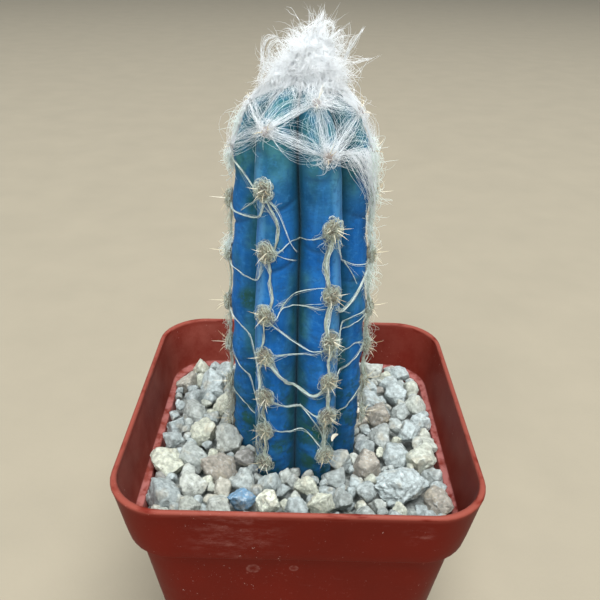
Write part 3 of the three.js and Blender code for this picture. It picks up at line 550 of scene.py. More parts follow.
def line_through(points, places):
    """A smooth line through a few points, at evenly spaced places."""
    points = np.asarray(points, float)
    if len(points) == 2:
        return points[0] + np.linspace(0, 1, places)[:, None] * (points[1] - points[0])
    padded = np.concatenate([2 * points[:1] - points[1:2], points, 2 * points[-1:] - points[-2:-1]])
    at = np.linspace(0, len(points) - 1, places)
    first = np.minimum(at.astype(int), len(points) - 2)
    t = (at - first)[:, None]
    p0, p1, p2, p3 = (padded[first + k] for k in range(4))
    return 0.5 * (
        2 * p1 + (p2 - p0) * t + (2 * p0 - 5 * p1 + 4 * p2 - p3) * t**2 + (3 * p1 - p0 - 3 * p2 + p3) * t**3
    )


def bundle(path, count, width, rng, places=9, fray=0.2, ends=(0.45, 0.45), twist=1.5, loose=0.15):
    """Fibres that run along a path, spread by width, or a share of it at the ends. Loose ones stop early."""
    start = rng.uniform(0, 0.12, count)
    early = rng.random(count) < loose
    end = np.where(early, rng.uniform(0.4, 1, count), rng.uniform(0.94, 1, count))
    at = start[:, None] + (end - start)[:, None] * np.linspace(0, 1, places)
    knots = np.linspace(0, 1, len(path))
    centre = np.stack([np.interp(at, knots, path[:, k]) for k in range(3)], -1)
    away = outward(centre)
    side = unit(np.cross(unit(np.gradient(centre, axis=1)), away))
    turn = rng.uniform(0, 2 * np.pi, count)[:, None] + rng.normal(0, twist, count)[:, None] * at
    spread = np.interp(at, (0, 0.5, 1), (ends[0], 1, ends[1]))
    reach = (np.sqrt(rng.random(count)) * width)[:, None] * spread
    waves = rng.uniform(4, 12, (2, count, 1)), rng.uniform(0, 6.3, (2, count, 1))
    swing = rng.normal(0, fray, (2, count, 1)) * np.sin(at * waves[0] + waves[1])
    stand = early[:, None] * rng.uniform(0.3, 2.2, count)[:, None] * np.linspace(0, 1, places) ** 2
    moved = centre + side * (np.cos(turn) * reach + swing[0])[..., None]
    moved = moved + away * (np.sin(turn) * reach + width * 0.6 + swing[1] + stand)[..., None]
    return off_the_skin(moved, 0.25)


def cord(path, thickness, rng):
    """A few fibres that lie together along a path, and part where it ends."""
    count = 2 + round(thickness * 11)
    centre = path[np.linspace(0, len(path) - 1, 24).round().astype(int)]
    length = np.append(0, np.cumsum(np.linalg.norm(np.diff(centre, axis=0), axis=1)))
    away = outward(centre)
    side = unit(np.cross(unit(np.gradient(centre, axis=0)), away))
    ends = np.exp(-length / 1.2) + np.exp(-(length[-1] - length) / 1.2)
    reach = thickness / 2 * np.sqrt(rng.uniform(0, 1, (count, 1))) * (1 + 1.5 * ends)
    turn = rng.uniform(0, 2 * np.pi, (count, 1)) + length * 2 * np.pi / CORD_PITCH
    moved = centre + side * (np.cos(turn) * reach)[..., None]
    moved = moved + away * (np.sin(turn) * reach + thickness / 2)[..., None]
    return off_the_skin(moved, 0.3)


def between(starts, ends, bow, rng, places, lift=0.25, stand=None):
    """Hairs from each start to each end, bowed sideways by about bow and outward by about stand, in mm."""
    stand = bow / 2 if stand is None else stand
    share = np.linspace(0, 1, places)[None, :, None]
    line = starts[:, None] + (ends - starts)[:, None] * share
    across = unit(np.cross(ends - starts, outward((starts + ends) / 2)))[:, None]
    arch = 4 * share * (1 - share)
    each = (len(starts), 1, 1)
    waves = np.sin(share * rng.uniform(5, 14, each) + rng.uniform(0, 6.3, each)) * rng.normal(0, 0.2, each)
    sideways = np.clip(rng.normal(0, bow, each), -1.7 * bow, 1.7 * bow)
    raised = np.abs(rng.normal(0, stand, each))
    moved = line + across * arch * (sideways + waves) + outward(line) * arch * raised
    return off_the_skin(moved, lift)


def grow(roots, headings, lengths, rng, bend, waver=0.25, places=8, group=None):
    """Hairs that leave roots along headings and curl as they go. bend is their turn in radians per mm.

    Hairs of one group curl alike."""
    group = np.arange(len(roots)) if group is None else group
    kinds = group.max() + 1
    axis = unit(rng.normal(size=(kinds, 3)))[group] + rng.normal(0, 0.3, roots.shape)
    step = (lengths / (places - 1))[:, None]
    turn = bend * rng.uniform(0.3, 1.7, kinds)[group][:, None] * rng.uniform(0.7, 1.3, (len(roots), 1)) * step
    place, heading, path = roots, unit(headings), [roots]
    for _ in range(places - 1):
        axis = unit(axis + rng.normal(0, waver, roots.shape))
        heading = unit(heading + np.cross(axis, heading) * turn)
        place = place + heading * step
        path.append(place)
    return np.stack(path, 1)


def settled(paths, pull, lift):
    """Hairs drawn in towards the skin by up to pull, and no nearer to it than lift, for each hair."""
    share = np.linspace(0, 1, paths.shape[1]) ** 0.6
    return off_the_skin(paths - outward(paths) * (pull[:, None] * share)[..., None], lift[:, None])


# Looks
class Look:
    """A material, and short ways to add the nodes that it is made of."""

    def __init__(self, name, constants):
        self.material = bpy.data.materials.new(name)
        self.material.use_nodes = True
        self.tree = self.material.node_tree
        self.surface = self.tree.nodes["Principled BSDF"]
        for key, value in constants.items():
            self.surface.inputs[key].default_value = value
        self.place = self.add("TexCoord", {}).outputs["Object"]

    def add(self, kind, inputs, **settings):
        node = self.tree.nodes.new("ShaderNode" + kind)
        for key, value in settings.items():
            setattr(node, key, value)
        for key, value in inputs.items():
            if isinstance(value, bpy.types.NodeSocket):
                self.tree.links.new(value, node.inputs[key])
            else:
                node.inputs[key].default_value = value
        return node

    def value(self, name):
        """A value that the mesh holds for each point."""
        return self.add("Attribute", {}, attribute_name=name).outputs["Fac"]

    def noise(self, size, detail, stretch=(1, 1, 1), rough=0.55):
        """Noise from 0 to 1 with features of this size in mm, stretched along an axis by a factor over 1."""
        scale = [1 / MM / size / way for way in stretch]
        place = self.add("Mapping", {"Vector": self.place, "Scale": scale}).outputs[0]
        inputs = {"Vector": place, "Scale": 1.0, "Detail": detail, "Roughness": rough}
        return self.add("TexNoise", inputs).outputs[0]

    def span(self, value, low, high, to=(0.0, 1.0)):
        """The value brought smoothly from the range of low to high to another range."""
        limits = {"Value": value, "From Min": low, "From Max": high, "To Min": to[0], "To Max": to[1]}
        return self.add("MapRange", limits, interpolation_type="SMOOTHSTEP").outputs[0]

    def patches(self, size, detail, low, high, **more):
        """Patches of 1 on 0 with soft edges, where the noise rises from low to high."""
        return self.span(self.noise(size, detail, **more), low, high)

    def height(self, low, high):
        """How far a place is from one level to another, in mm, from 0 to 1."""
        z = self.add("SeparateXYZ", {0: self.place}).outputs["Z"]
        return self.add("MapRange", {"Value": z, "From Min": low * MM, "From Max": high * MM}).outputs[0]

    def away(self, place):
        """The distance from a place, in mm."""
        inputs = {0: self.place, 1: [value * MM for value in place]}
        metres = self.add("VectorMath", inputs, operation="DISTANCE").outputs["Value"]
        return self.add("Math", {0: metres, 1: 1 / MM}, operation="MULTIPLY").outputs[0]

    def near(self, place, radius):
        """A soft spot round a place."""
        return self.span(self.away(place), radius, radius * 0.3)

    def ring(self, place, radius):
        """A soft ring round a place."""
        distance = self.away(place)
        within = self.span(distance, radius * 1.2, radius)
        return self.math("MULTIPLY", self.span(distance, radius * 0.4, radius), within)

    def math(self, operation, *shares):
        """The shares multiplied or added one after another, and kept from 0 to 1."""
        result = shares[0]
        for share in shares[1:]:
            result = self.add("Math", {0: result, 1: share}, operation=operation, use_clamp=True).outputs[0]
        return result

    def mix(self, share, one, other):
        one, other = [(*colour, 1) if isinstance(colour, tuple) else colour for colour in (one, other)]
        return self.add("Mix", {0: share, 6: one, 7: other}, data_type="RGBA").outputs[2]

    def over(self, base, colour, *shares):
        """The base with a colour laid over it by all of the shares together."""
        return self.mix(self.math("MULTIPLY", *shares), base, colour)

    def ramp(self, value, stops):
        node = self.add("ValToRGB", {"Fac": value})
        elements = node.color_ramp.elements
        while len(elements) < len(stops):
            elements.new(0.5)
        for element, (position, colour) in zip(elements, stops):
            element.position = position
            element.color = (*colour, 1)
        return node.outputs[0]

    def finish(self, colour, bumps, roughness=None):
        """Sets the colour, the bumps as (height, depth in mm) each, and the roughness where it varies."""
        self.tree.links.new(colour, self.surface.inputs["Base Color"])
        if roughness is not None:
            self.tree.links.new(roughness, self.surface.inputs["Roughness"])
        normal = None
        for height, depth in bumps:
            inputs = {"Height": height, "Distance": depth * MM, "Strength": 1.0}
            if normal:
                inputs["Normal"] = normal
            normal = self.add("Bump", inputs).outputs[0]
        self.tree.links.new(normal, self.surface.inputs["Normal"])
        return self.material


def skin_look():
    """Blue skin with a pale bloom, greener in patches, beside the grooves, on the dome and low down; with a
    painted highlight beside each crest and painted shade in the creases and in and beside the grooves.
    """
    tint = (0.3, 0.65, 1.0, 1)
    sheen = {"Sheen Weight": 0.12, "Sheen Roughness": 0.4, "Sheen Tint": tint}
    look = Look("skin_blue_bloom", {"Specular IOR Level": 0.05, **sheen})
    groove, mottle = look.value("groove"), look.noise(9, 5)
    flank = look.math("MULTIPLY", look.span(groove, 0.4, 0.85), look.patches(18, 2, 0.45, 0.62))
    wide = look.math("MULTIPLY", look.patches(13, 3, 0.56, 0.66, stretch=(1, 1, 1.6)), 0.55)
    greening = look.math("ADD", look.height(139, 160), flank, wide)
    green = look.over(SKIN["dark green"], SKIN["pale green"], look.patches(5, 4, 0.3, 0.7))
    skin = look.mix(greening, look.ramp(mottle, SKIN_RAMP), green)
    skin = look.over(skin, SKIN["streak"], look.patches(2.2, 6, 0.42, 0.7, stretch=(1, 1, 5)), 0.4)
    # painted highlight: a pale stripe on one side of each crest, full below 150 mm and gone by 166 mm
    skin = look.over(skin, SKIN["crest"], look.value("crest"), look.height(166, 150), 0.5)
    skin = look.over(skin, SKIN["worn"], look.patches(1.8, 6, 0.5, 0.66, rough=0.7), 0.65)
    skin = look.over(skin, SKIN["bloom"], look.patches(1.6, 6, 0.5, 0.74, rough=0.7), 0.4)
    skin = look.over(skin, SKIN["dome"], look.height(148, 162), 0.45)
    skin = look.over(skin, SKIN["low"], look.height(106, 66), look.patches(4, 5, 0.25, 0.6), 0.8)
    blotches = look.patches(3.4, 5, 0.5, 0.58, rough=0.65)
    skin = look.over(skin, SKIN["blotch"], look.height(116, 84), blotches, 0.75)
    for place, size in GREEN_PATCHES:
        ragged = look.patches(1.6, 6, 0.36, 0.5, rough=0.75)
        skin = look.over(skin, SKIN["patch"], look.near(place, size), ragged, 0.95)
    # painted shade in the creases below the areoles
    skin = look.over(skin, SKIN["crease"], look.value("crease"), 0.7)
    # painted shade on the flanks beside each groove, and darker painted shade in the groove itself
    skin = look.over(skin, SKIN["flank"], look.span(groove, 0.55, 0.97), 0.75)
    skin = look.over(skin, SKIN["groove"], look.span(groove, 0.9, 0.985))
    rough = look.span(mottle, 0.3, 0.7, to=(0.62, 0.45))
    bumps = [(look.noise(0.5, 4), 0.05), (look.noise(1.4, 5, stretch=(1, 1, 0.4)), 0.12)]
    return look.finish(skin, bumps, rough)


def wool_look(name, through, sheen, stops):
    """Hair that lets some light through. Its colour comes from its own tone and from clouds over it."""
    shine = {"Roughness": 0.8, "Specular IOR Level": 0.2, "Sheen Weight": sheen, "Sheen Roughness": 0.5}
    depth = {"Subsurface Weight": through, "Subsurface Radius": (1, 1, 1), "Subsurface Scale": 1.2 * MM}
    look = Look(name, {**shine, **depth})
    own = look.math("MULTIPLY", look.value("tone"), 0.7)
    tone = look.math("ADD", own, look.math("MULTIPLY", look.noise(2, 3), 0.4))
    return look.finish(look.ramp(tone, stops), [(look.noise(0.25, 3), 0.03)])


def stone_look():
    """Broken stone of a colour by its tone, stained, pitted, grainy and speckled."""
    look = Look("gravel", {"Roughness": 0.95, "Specular IOR Level": 0.25})
    mottle, grain = look.noise(1.2, 7, rough=0.65), look.noise(0.3, 3)
    base = look.ramp(look.value("tone"), STONE_RAMP)
    base = look.over(base, STONE["stain"], look.patches(5, 4, 0.54, 0.68), 0.45)
    base = look.mix(look.span(mottle, 0.4, 0.54), look.over(base, STONE["pit"], 0.45), base)
    base = look.over(base, STONE["grain"], look.span(grain, 0.5, 0.6), 0.35)
    base = look.over(base, STONE["pale"], look.span(mottle, 0.54, 0.66), 0.45)
    base = look.over(base, STONE["speck"], look.patches(0.7, 3, 0.68, 0.74))
    return look.finish(base, [(look.noise(1.4, 9, rough=0.75), 1.0), (grain, 0.2)])


def pot_look():
    """Brown-red plastic with dust, scuffs, worn edges with a painted highlight on the rim, dried water, and a
    pale dusty film inside that is stronger on the left as painted light.
    """
    look = Look("terracotta_plastic", {"Specular IOR Level": 0.05})
    cloud = look.noise(26, 4)
    base = look.ramp(cloud, POT_RAMP)
    fine, broad = look.patches(1.3, 6, 0.6, 0.74, rough=0.7), look.patches(14, 3, 0.4, 0.7)
    base = look.over(base, POT["dust"], fine, broad, 0.4)
    dots, where = look.patches(0.55, 2, 0.7, 0.76), look.patches(11, 3, 0.45, 0.65)
    base = look.over(base, POT["speck"], dots, where, 0.7)
    base = look.over(base, POT["scuff"], look.patches(1, 4, 0.68, 0.74, stretch=(14, 14, 1)), 0.2)
    rubbed = look.patches(1, 5, 0.25, 0.5, stretch=(6, 6, 1))
    # real wear and a painted highlight together along the top of the rim
    base = look.over(base, POT["worn"], look.value("edge"), rubbed, 0.35)
    base = look.over(base, POT["ledge"], look.value("ledge"), look.patches(2.5, 5, 0.3, 0.6), 0.6)
    for place, size in WATER_SPOTS:
        base = look.over(base, POT["water"], look.ring(place, size), look.patches(0.8, 3, 0.3, 0.6), 0.15)
    for place, size in SMEARS:
        cloudy = look.patches(2.4, 9, 0.46, 0.72, stretch=(2.5, 2.5, 1), rough=0.78)
        base = look.over(base, POT["smear"], look.near(place, size), cloudy, 0.22)
    film = look.patches(9, 6, 0.1, 0.8, rough=0.7)
    # a pale dusty film inside, stronger on the left inner wall as painted light
    base = look.over(base, POT["inside"], look.value("inside"), film, 0.5)
    rough = look.span(cloud, 0.3, 0.7, to=(0.42, 0.55))
    return look.finish(base, [(look.noise(0.7, 3), 0.012), (look.noise(9, 2), 0.06)], rough)


def soil_look():
    look = Look("soil", {"Roughness": 1.0})
    crumbs = look.noise(1.5, 6, rough=0.7)
    return look.finish(look.ramp(crumbs, SOIL_RAMP), [(crumbs, 0.8)])


def floor_look():
    look = Look("floor", {"Roughness": 0.8})
    return look.finish(look.ramp(look.noise(40, 5), FLOOR_RAMP), [(look.noise(1.5, 4), 0.05)])


# The pot
def square_ring(half, z):
    """A ring of points round a square with rounded corners."""
    radius = half * CORNER_SHARE
    straight = half - radius
    turns = np.linspace(0, np.pi / 2, CORNER_STEPS + 1)
    ring = []
    for quarter, (sx, sy) in enumerate([(1, 1), (-1, 1), (-1, -1), (1, -1)]):
        angle = turns + quarter * np.pi / 2
        x, y = sx * straight + radius * np.cos(angle), sy * straight + radius * np.sin(angle)
        ring.append(np.stack([x, y, np.full(len(x), float(z))], -1))
    return np.concatenate(ring)


def body_half(z):
    return BODY_BOTTOM_HALF + (BODY_TOP_HALF - BODY_BOTTOM_HALF) * z / BAND_FOOT


def band_half(z):
    return BAND_HALF + (RIM_HALF - BAND_HALF) * (z - BAND_FOOT) / (POT_HEIGHT - BAND_FOOT)


def arc(half, z, radius, first, last, steps=4):
    """Points of a fillet in the pot's section: its centre, its radius and its end angles in degrees."""
    turns = np.radians(np.linspace(first, last, steps + 1))
    return [(half + radius * math.cos(turn), z + radius * math.sin(turn)) for turn in turns]


def outer_section():
    """Half widths and heights of the pot's outside, from the middle of the base round to the inner lip."""
    lip = POT_WALL / 2
    foot_inner = BODY_BOTTOM_HALF - FOOT_WIDTH
    section = [(2, FOOT_RECESS), (foot_inner - 0.4, FOOT_RECESS)]
    section += arc(foot_inner + 0.3, 0.3, 0.3, 180, 270, 2)
    section += arc(BODY_BOTTOM_HALF - 1, 1, 1, -90, -8)
    section += [(body_half(z), z) for z in (3, 20, 40, 60)]
    section += arc(body_half(BAND_FOOT) + 0.3, BAND_FOOT - 0.3, 0.3, 180, 90, 3)
    section += arc(BAND_HALF - 0.5, BAND_FOOT + 0.5, 0.5, -90, -8)
    section += [(band_half(z), z) for z in (70, 76, 82)]
    return section + arc(RIM_HALF - lip, POT_HEIGHT - lip, lip, -8, 188, 8)


def inner_section():
    """The same of its inside, from under the lip down to the middle of the base."""
    section = [(band_half(z) - POT_WALL, z) for z in (82, 76, 71)]
    section += arc(band_half(LEDGE) - POT_WALL - 0.5, LEDGE + 1.1, 0.5, 0, -90, 3)
    section += arc(body_half(LEDGE) - POT_WALL + 0.4, LEDGE + 0.2, 0.4, 90, 180, 3)
    section += [(body_half(z) - POT_WALL, z) for z in (60, 40, 20)]
    section += arc(body_half(POT_BASE) - POT_WALL - 1.5, POT_BASE + 1.5, 1.5, 0, -90)
    return section + [(2, POT_BASE)]


def build_pot(look):
    """The pot, with values for its rim, worn and with a painted highlight, its dusty ledge and its inside,
    whose dusty film is stronger on the left as painted light.
    """
    outer, inner = outer_section(), inner_section()
    rings = np.stack([square_ring(half, z) for half, z in outer + inner])
    halves, heights = np.array(outer + inner).T
    on_ledge = (np.abs(heights - LEDGE - 0.4) < 0.6) & (halves < BAND_HALF - 0.9) & (halves > 37)
    levels = {
        "edge": smoothstep(heights, POT_HEIGHT - 1.2, POT_HEIGHT - 0.3),
        "ledge": on_ledge.astype(float),
        "inside": np.repeat([0.0, 1.0], [len(outer), len(inner)]),
    }
    values = {key: np.repeat(numbers, rings.shape[1]) for key, numbers in levels.items()}
    # the film stays full on the left inner wall and drops to 0.45 on the right: painted light on the left
    # wall over the dust
    values["inside"] *= np.where(rings[..., 0].ravel() < 0, 1, 0.45)
    cut_drains(piece("pot_shell", *loft(rings), capped(values), look, "pot", "pot", sharp=POT_EDGE))


def cut_drains(pot):
    """Cuts the five drain holes through the base."""
    cutter = bpy.data.meshes.new("drains")
    shape = bmesh.new()
    radius = DRAIN_RADIUS * MM
    cone = {"segments": 32, "radius1": radius, "radius2": radius, "depth": DRAIN_CUT * MM}
    for x, y in [(0, 0), (1, 1), (-1, 1), (-1, -1), (1, -1)]:
        place = Matrix.Translation((x * DRAIN_SPREAD * MM, y * DRAIN_SPREAD * MM, 0))
        bmesh.ops.create_cone(shape, cap_ends=True, matrix=place, **cone)
    shape.to_mesh(cutter)
    shape.free()
    tool = in_scene("drains", cutter)
    cut = pot.modifiers.new("drains", "BOOLEAN")
    cut.operation, cut.solver, cut.object = "DIFFERENCE", "EXACT", tool
    graph = bpy.context.evaluated_depsgraph_get()
    done = bpy.data.meshes.new_from_object(pot.evaluated_get(graph))
    pot.modifiers.remove(cut)
    pot.data = done
    bpy.data.objects.remove(tool)


# The gravel
def chip(rng, size, turn, detail, facets=FACETS):
    """A broken stone: a ball cut back by flat faces with worn edges, roughened, stretched and turned."""
    directions, faces = BALLS[detail]
    normals = unit(rng.normal(size=(facets, 3)))
    reach = np.clip(directions @ normals.T, 0, None) / rng.uniform(*CUTS, facets)
    radius = ((reach**EDGE_POWER).sum(1) + 1.15**-EDGE_POWER) ** (-1 / EDGE_POWER)
    offset = rng.uniform(-40, 40, 3)
    coarse = fractal(directions + offset, 0.6, 5) * STONE_ROUGHNESS["coarse"]
    fine = fractal(directions - offset, 0.2, 3) * STONE_ROUGHNESS["fine"]
    points = directions * (radius * (1 + (coarse + fine)))[:, None]
    spin = Euler((*rng.uniform(-0.5, 0.5, 2), math.radians(turn))).to_matrix()
    middle = (points.max(0) + points.min(0)) / 2
    points = (points - middle) / ((points.max(0) - points.min(0)) / 2) * size
    return points @ np.array(spin).T, faces


def clear_of_wall_and_stem(x, y, half):
    """Whether a stone of the bed has room between the pot and the stem, as in the part's source."""
    wall = body_half(GRAVEL_TOP) - POT_WALL - WALL_GAP
    radius = wall * CORNER_SHARE
    over = [max(0, abs(value) - (wall - radius)) for value in (x, y)]
    room = math.hypot(*over) + half * 0.85 < radius
    degrees = math.degrees(math.atan2(x - STEM_X, -y))
    skin = float(stem_radius(np.float64(degrees), np.float64(STONE_CENTRE)))
    return room and math.hypot(x - STEM_X, y) > skin + half * 0.75


def bed_stones():
    """The stones of the bed where the part's source has them: x, y, z, half sizes and turn."""
    random = seeded_random(FILL["seed"])
    taken = [(x, y, (size[0] + size[1]) / 2) for _, x, y, size, _ in LOOSE_STONES.values()]
    stones = []

    def place(x, y, half):
        taken.append((x, y, half))
        z = STONE_CENTRE - STONE_JITTER["below"] + random() * STONE_JITTER["range"]
        size = [half * (0.88 + random() * 0.28) for _ in range(3)]
        stones.append((x, y, z, size, random() * 360))

    for x, y, half in BED_STONES:
        place(x, y, half)
    for i in range(FILL["tries"]):
        x = (random() * 2 - 1) * BODY_TOP_HALF
        y = (random() * 2 - 1) * BODY_TOP_HALF
        shrink = min(1, 2 * i / FILL["tries"] + random() * 0.3)
        half = FILL["largest"] + (FILL["smallest"] - FILL["largest"]) * shrink
        free = all(math.hypot(tx - x, ty - y) > half + other for tx, ty, other in taken)
        if free and clear_of_wall_and_stem(x, y, half):
            place(x, y, half)
    return stones


def small_stones(taken, rng):
    """Smaller stones in the gaps between the large ones, and a layer of them underneath."""
    stones = []
    for tries, low, high, level, share in STONE_LAYERS:
        for _ in range(tries):
            x, y = rng.uniform(-BODY_TOP_HALF, BODY_TOP_HALF, 2)
            half = rng.uniform(low, high)
            z = level + rng.uniform(-0.7, 0.7) - (half - low) * 0.3
            near = np.array(taken)
            gaps = np.sqrt(((near[:, :3] - (x, y, z)) ** 2).sum(1)) - share * (near[:, 3] + half)
            if gaps.min() > 0 and clear_of_wall_and_stem(x, y, half):
                taken.append((x, y, z, half))
                stones.append((x, y, z, half * rng.uniform(0.85, 1.2, 3), rng.uniform(0, 360)))
    return stones


def build_loose_stones(look, rng):
    """The stones that stand out, and the room that each takes: x, y, z and radius."""
    taken = []
    for name, (kind, x, y, size, turn) in LOOSE_STONES.items():
        tone, slot = STONE_KINDS[kind]
        facets = ROUND_FACETS if name in ROUND_STONES else FACETS
        detail = 5 if name == "stone_large_pale" else 4
        points, faces = chip(rng, np.array(size), turn, detail, facets)
        z = STONE_CENTRE + LOOSE_RISE
        taken.append((x, y, z, max(size) * 0.96))
        values = {"tone": np.full(len(points), tone)}
        piece(name + "_rock", points + (x, y, z), faces, values, look, slot, name, sharp=STONE_EDGE)
    return taken


def build_bed(look, rng, taken):
    """The large stones of the bed, and the smaller ones between and under them."""
    large = bed_stones()
    taken = taken + [(x, y, z, float(np.mean(size))) for x, y, z, size, _ in large]
    for name, stones, detail in [("gravel_large", large, 4), ("gravel_small", small_stones(taken, rng), 3)]:
        parts = []
        for x, y, z, size, turn in stones:
            points, faces = chip(rng, np.array(size), turn, detail)
            tones = [rng.uniform(*limits) for limits in BED_TONES]
            parts.append((points + (x, y, z), faces, rng.choice(tones, p=BED_SHARES)))
        piece(name, *joined(parts), look, "gravel_pale", "gravel_bed", sharp=STONE_EDGE)


def build_grit(look):
    """The rough ground that shows in the gaps between the stones."""
    half = body_half(GRIT_TOP) - POT_WALL - WALL_GAP
    top = np.stack([square_ring(half * share, GRIT_TOP) for share in np.linspace(1, 0.05, 40)])
    top[..., 2] += fractal(top, 2.5, 3).reshape(top.shape[:2]) * 0.9
    base = square_ring(body_half(GRIT_BASE) - POT_WALL - WALL_GAP, GRIT_BASE)[None]
    points, faces = loft(np.concatenate([base, top]))
    values = {"tone": np.full(len(points), GRIT_TONE)}
    piece("gravel_grit", points, faces, values, look, "gravel_pale", "gravel_bed")


def build_gravel(look):
    rng = np.random.default_rng(11)
    build_bed(look, rng, build_loose_stones(look, rng))
    build_grit(look)


# The stem
def crease_depth(rib, share, z):
    """The depth, from 0 to 1, of the creases that cross each rib below its areoles, for grids of places."""
    rng = np.random.default_rng(3)
    total = np.zeros_like(z)
    for which, heights in enumerate(AREOLES):
        for low, high in zip(heights, heights[1:]):
            centre = high - (high - low) * (CREASE["below"] + rng.uniform(-0.06, 0.06))
            lean, middle = rng.uniform(-1.5, 1.5), rng.choice([-0.42, 0.42])
            strength = rng.uniform(0.45, 1)
            line = centre + CREASE["smile"] * share**2 + lean * share
            window = np.exp(-(((share - middle) / CREASE["reach"]) ** 4))
            bulge = 0.35 * np.exp(-(((z - line - 1.7) / 1.3) ** 2))
            trough = np.exp(-(((z - line) / CREASE["width"]) ** 2)) - bulge
            total += np.where(rib == which, strength * window * trough, 0)
    return total


def stem_grid():
    """Angles and heights for the points of the skin, before the ribs turn."""
    ahead = (np.roll(RIB_ANGLES, -1) - RIB_ANGLES) % 360 / 2
    angles = []
    for crest, before, after in zip(RIB_ANGLES, np.roll(ahead, 1), ahead):
        angles += [*(crest - RIB_STEPS[:0:-1] * before), *(crest + RIB_STEPS[:-1] * after)]
    column = np.arange(STEM_COLLAR, DOME_START, LEVEL_STEP)
    turn = np.linspace(0, np.pi / 2, DOME_LEVELS + 1)[:-1]
    dome = DOME_START + (STEM_APEX - DOME_START) * np.sin(turn) ** (2 / DOME_POWER)
    return np.meshgrid(angles, np.concatenate([BURIED_LEVELS, column, dome]))


def build_stem(look):
    """The ribbed skin with uneven flanks, and wrinkles that are deeper low down."""
    degrees, z = stem_grid()
    rib, share = rib_at(degrees)
    degrees = degrees + twist_at(z)
    crease = crease_depth(rib, share, z)
    plain = from_front(degrees, stem_radius(degrees, z), z)
    waves = fractal(plain * (1, 1, 0.7), 9, 2).reshape(z.shape) * RELIEF["waves"]
    low = smoothstep(-z, -RELIEF["smooth_above"], -RELIEF["rough_below"])
    deep = RELIEF["wrinkles"] + RELIEF["low_wrinkles"] * low
    wrinkles = fractal(plain * (0.35, 0.35, 1.6), 2.2, 3).reshape(z.shape) * deep
    fade = 1 - smoothstep(np.abs(share), 0.8, 1)
    extra = waves + wrinkles * fade - CREASE["depth"] * crease
    points, faces = loft(from_front(degrees, stem_radius(degrees, z, extra), z))
    # crest places the painted highlight stripe; crease and groove also place painted shade
    values = {
        "groove": np.abs(share).ravel(),
        "crest": (1 - smoothstep(np.abs(share - PAINTED_HIGHLIGHT_SIDE[rib] * 0.22), 0.05, 0.2)).ravel(),
        "crease": np.clip(crease, 0, 1).ravel(),
    }
    plant_piece("stem_skin", points, faces, capped(values), look, "skin", "stem")


# The areoles
def tan_areoles(rib):
    return [i for i, z in enumerate(AREOLES[rib]) if z < WHITE_ABOVE]


def row_draws(rib):
    """The draws of the part's source for the spines of a row: turn, rise and length of each."""
    random = seeded_random(rib + 1)
    rows = []
    for _ in tan_areoles(rib):
        draws = [(random(), SPINE_RISE["central"], SPINE["length"] * 1.25)]
        for _ in range(5):
            turn = random()
            rise = SPINE_RISE["low"] + random() * SPINE_RISE["spread"]
            draws.append((turn, rise, SPINE["length"] * (0.8 + random() * 0.35)))
        rows.append(draws)
    return rows


def spine_paths(spot, draws, rng, more):
    """The spines of an areole: those that were drawn, then more and finer ones between them."""
    turns = [2 * math.pi * (i + draw[0] * 0.5) / (len(draws) - 1) for i, draw in enumerate(draws)]
    turn = np.append(turns, rng.uniform(0, 2 * np.pi, more))
    rise = np.append([draw[1] for draw in draws], rng.uniform(0.15, 1.1, more))
    length = np.append([draw[2] for draw in draws], rng.uniform(2.2, 4.4, more))
    side, up = np.cos(turn), np.sin(turn)
    flat, high = np.cos(rise) * length, np.sin(rise) * length
    root = beside(spot, SPINE["root"] * 0.6, side * 0.5, up * 0.5)
    bend = beside(spot, SPINE["root"] + high * 0.5 + 0.15, side * flat * 0.5, up * flat * 0.5)
    tip = beside(spot, SPINE["root"] + high, side * flat, up * flat)
    paths = np.stack([line_through(route, 5) for route in np.stack([root, bend, tip], 1)])
    return off_the_skin(paths, 0.1)


def felt(spot, rng, scale=0.8):
    """The matted middle of a cushion."""
    points, faces = BALLS[3]
    rough = 1 + fractal(points + rng.uniform(-9, 9, 3), 0.4, 3) * 0.32
    sizes = np.array([CUSHION["deep"], CUSHION["across"], CUSHION["tall"]]) * scale
    x, y, z = (points * rough[:, None] * sizes).T
    return beside(spot, 0.35 + x, y, z), faces


def tangle(spot, count, rng):
    """Short fibres that run round a cushion like matted wool, and a tone for each: darker in the middle."""
    start = unit(rng.normal(size=(count, 3)) + (0.6, 0, 0))
    other = np.cross((1.0, 0, 0), start) * rng.choice([-1, 1], (count, 1)) + rng.normal(0, 0.35, (count, 3))
    other = unit(other - (other * start).sum(1, keepdims=True) * start)
    sweep = rng.uniform(0.3, 1.4, count)[:, None] * np.linspace(0, 1, 6)
    shell = rng.uniform(0.76, 1.18, (count, 1)) + 0.16 * np.sin(sweep * rng.uniform(2, 7, (count, 1)))
    path = start[:, None] * np.cos(sweep)[..., None] + other[:, None] * np.sin(sweep)[..., None]
    out, side, up = np.moveaxis(path * shell[..., None], -1, 0)
    out = np.maximum(out, -0.1) * CUSHION["deep"] + 0.4
    paths = off_the_skin(beside(spot, out, side * CUSHION["across"], up * CUSHION["tall"]), 0.08)
    return paths, np.clip(np.hypot(start[:, 1], start[:, 2]), 0, 1) * 0.5


def sprouting(spot, kind, rng):
    """A part of curly hairs that leave a cushion all round."""
    count, lengths, bend, high = CURLS[kind]
    turn, rise = rng.uniform(0, 2 * np.pi, count), rng.uniform(0.05, high, count)
    side, up = np.cos(turn), np.sin(turn)
    out, aside, above = (rng.uniform(low, far, count) for low, far in [(0.4, 1.2), (0, 1.8), (0, 1.9)])
    roots = beside(spot, out, side * aside, up * above)
    headings = beside(spot, np.sin(rise), np.cos(rise) * side, np.cos(rise) * up) - spot["place"]
    paths = grow(roots, headings, rng.uniform(*lengths, count), rng, bend, places=6)
    paths = settled(paths, rng.uniform(0, 1, count) * lengths[1] * 0.25, rng.uniform(0.08, 1.2, count))
    return wool(paths, HAIR[kind], rng)


def strand_route(places, lift):
    """A line over places given as degrees and heights, at this lift from the skin."""
    degrees, heights = np.array(places, float).T
    return line_through(from_front(degrees, stem_radius(degrees, heights) + lift, heights), 40)


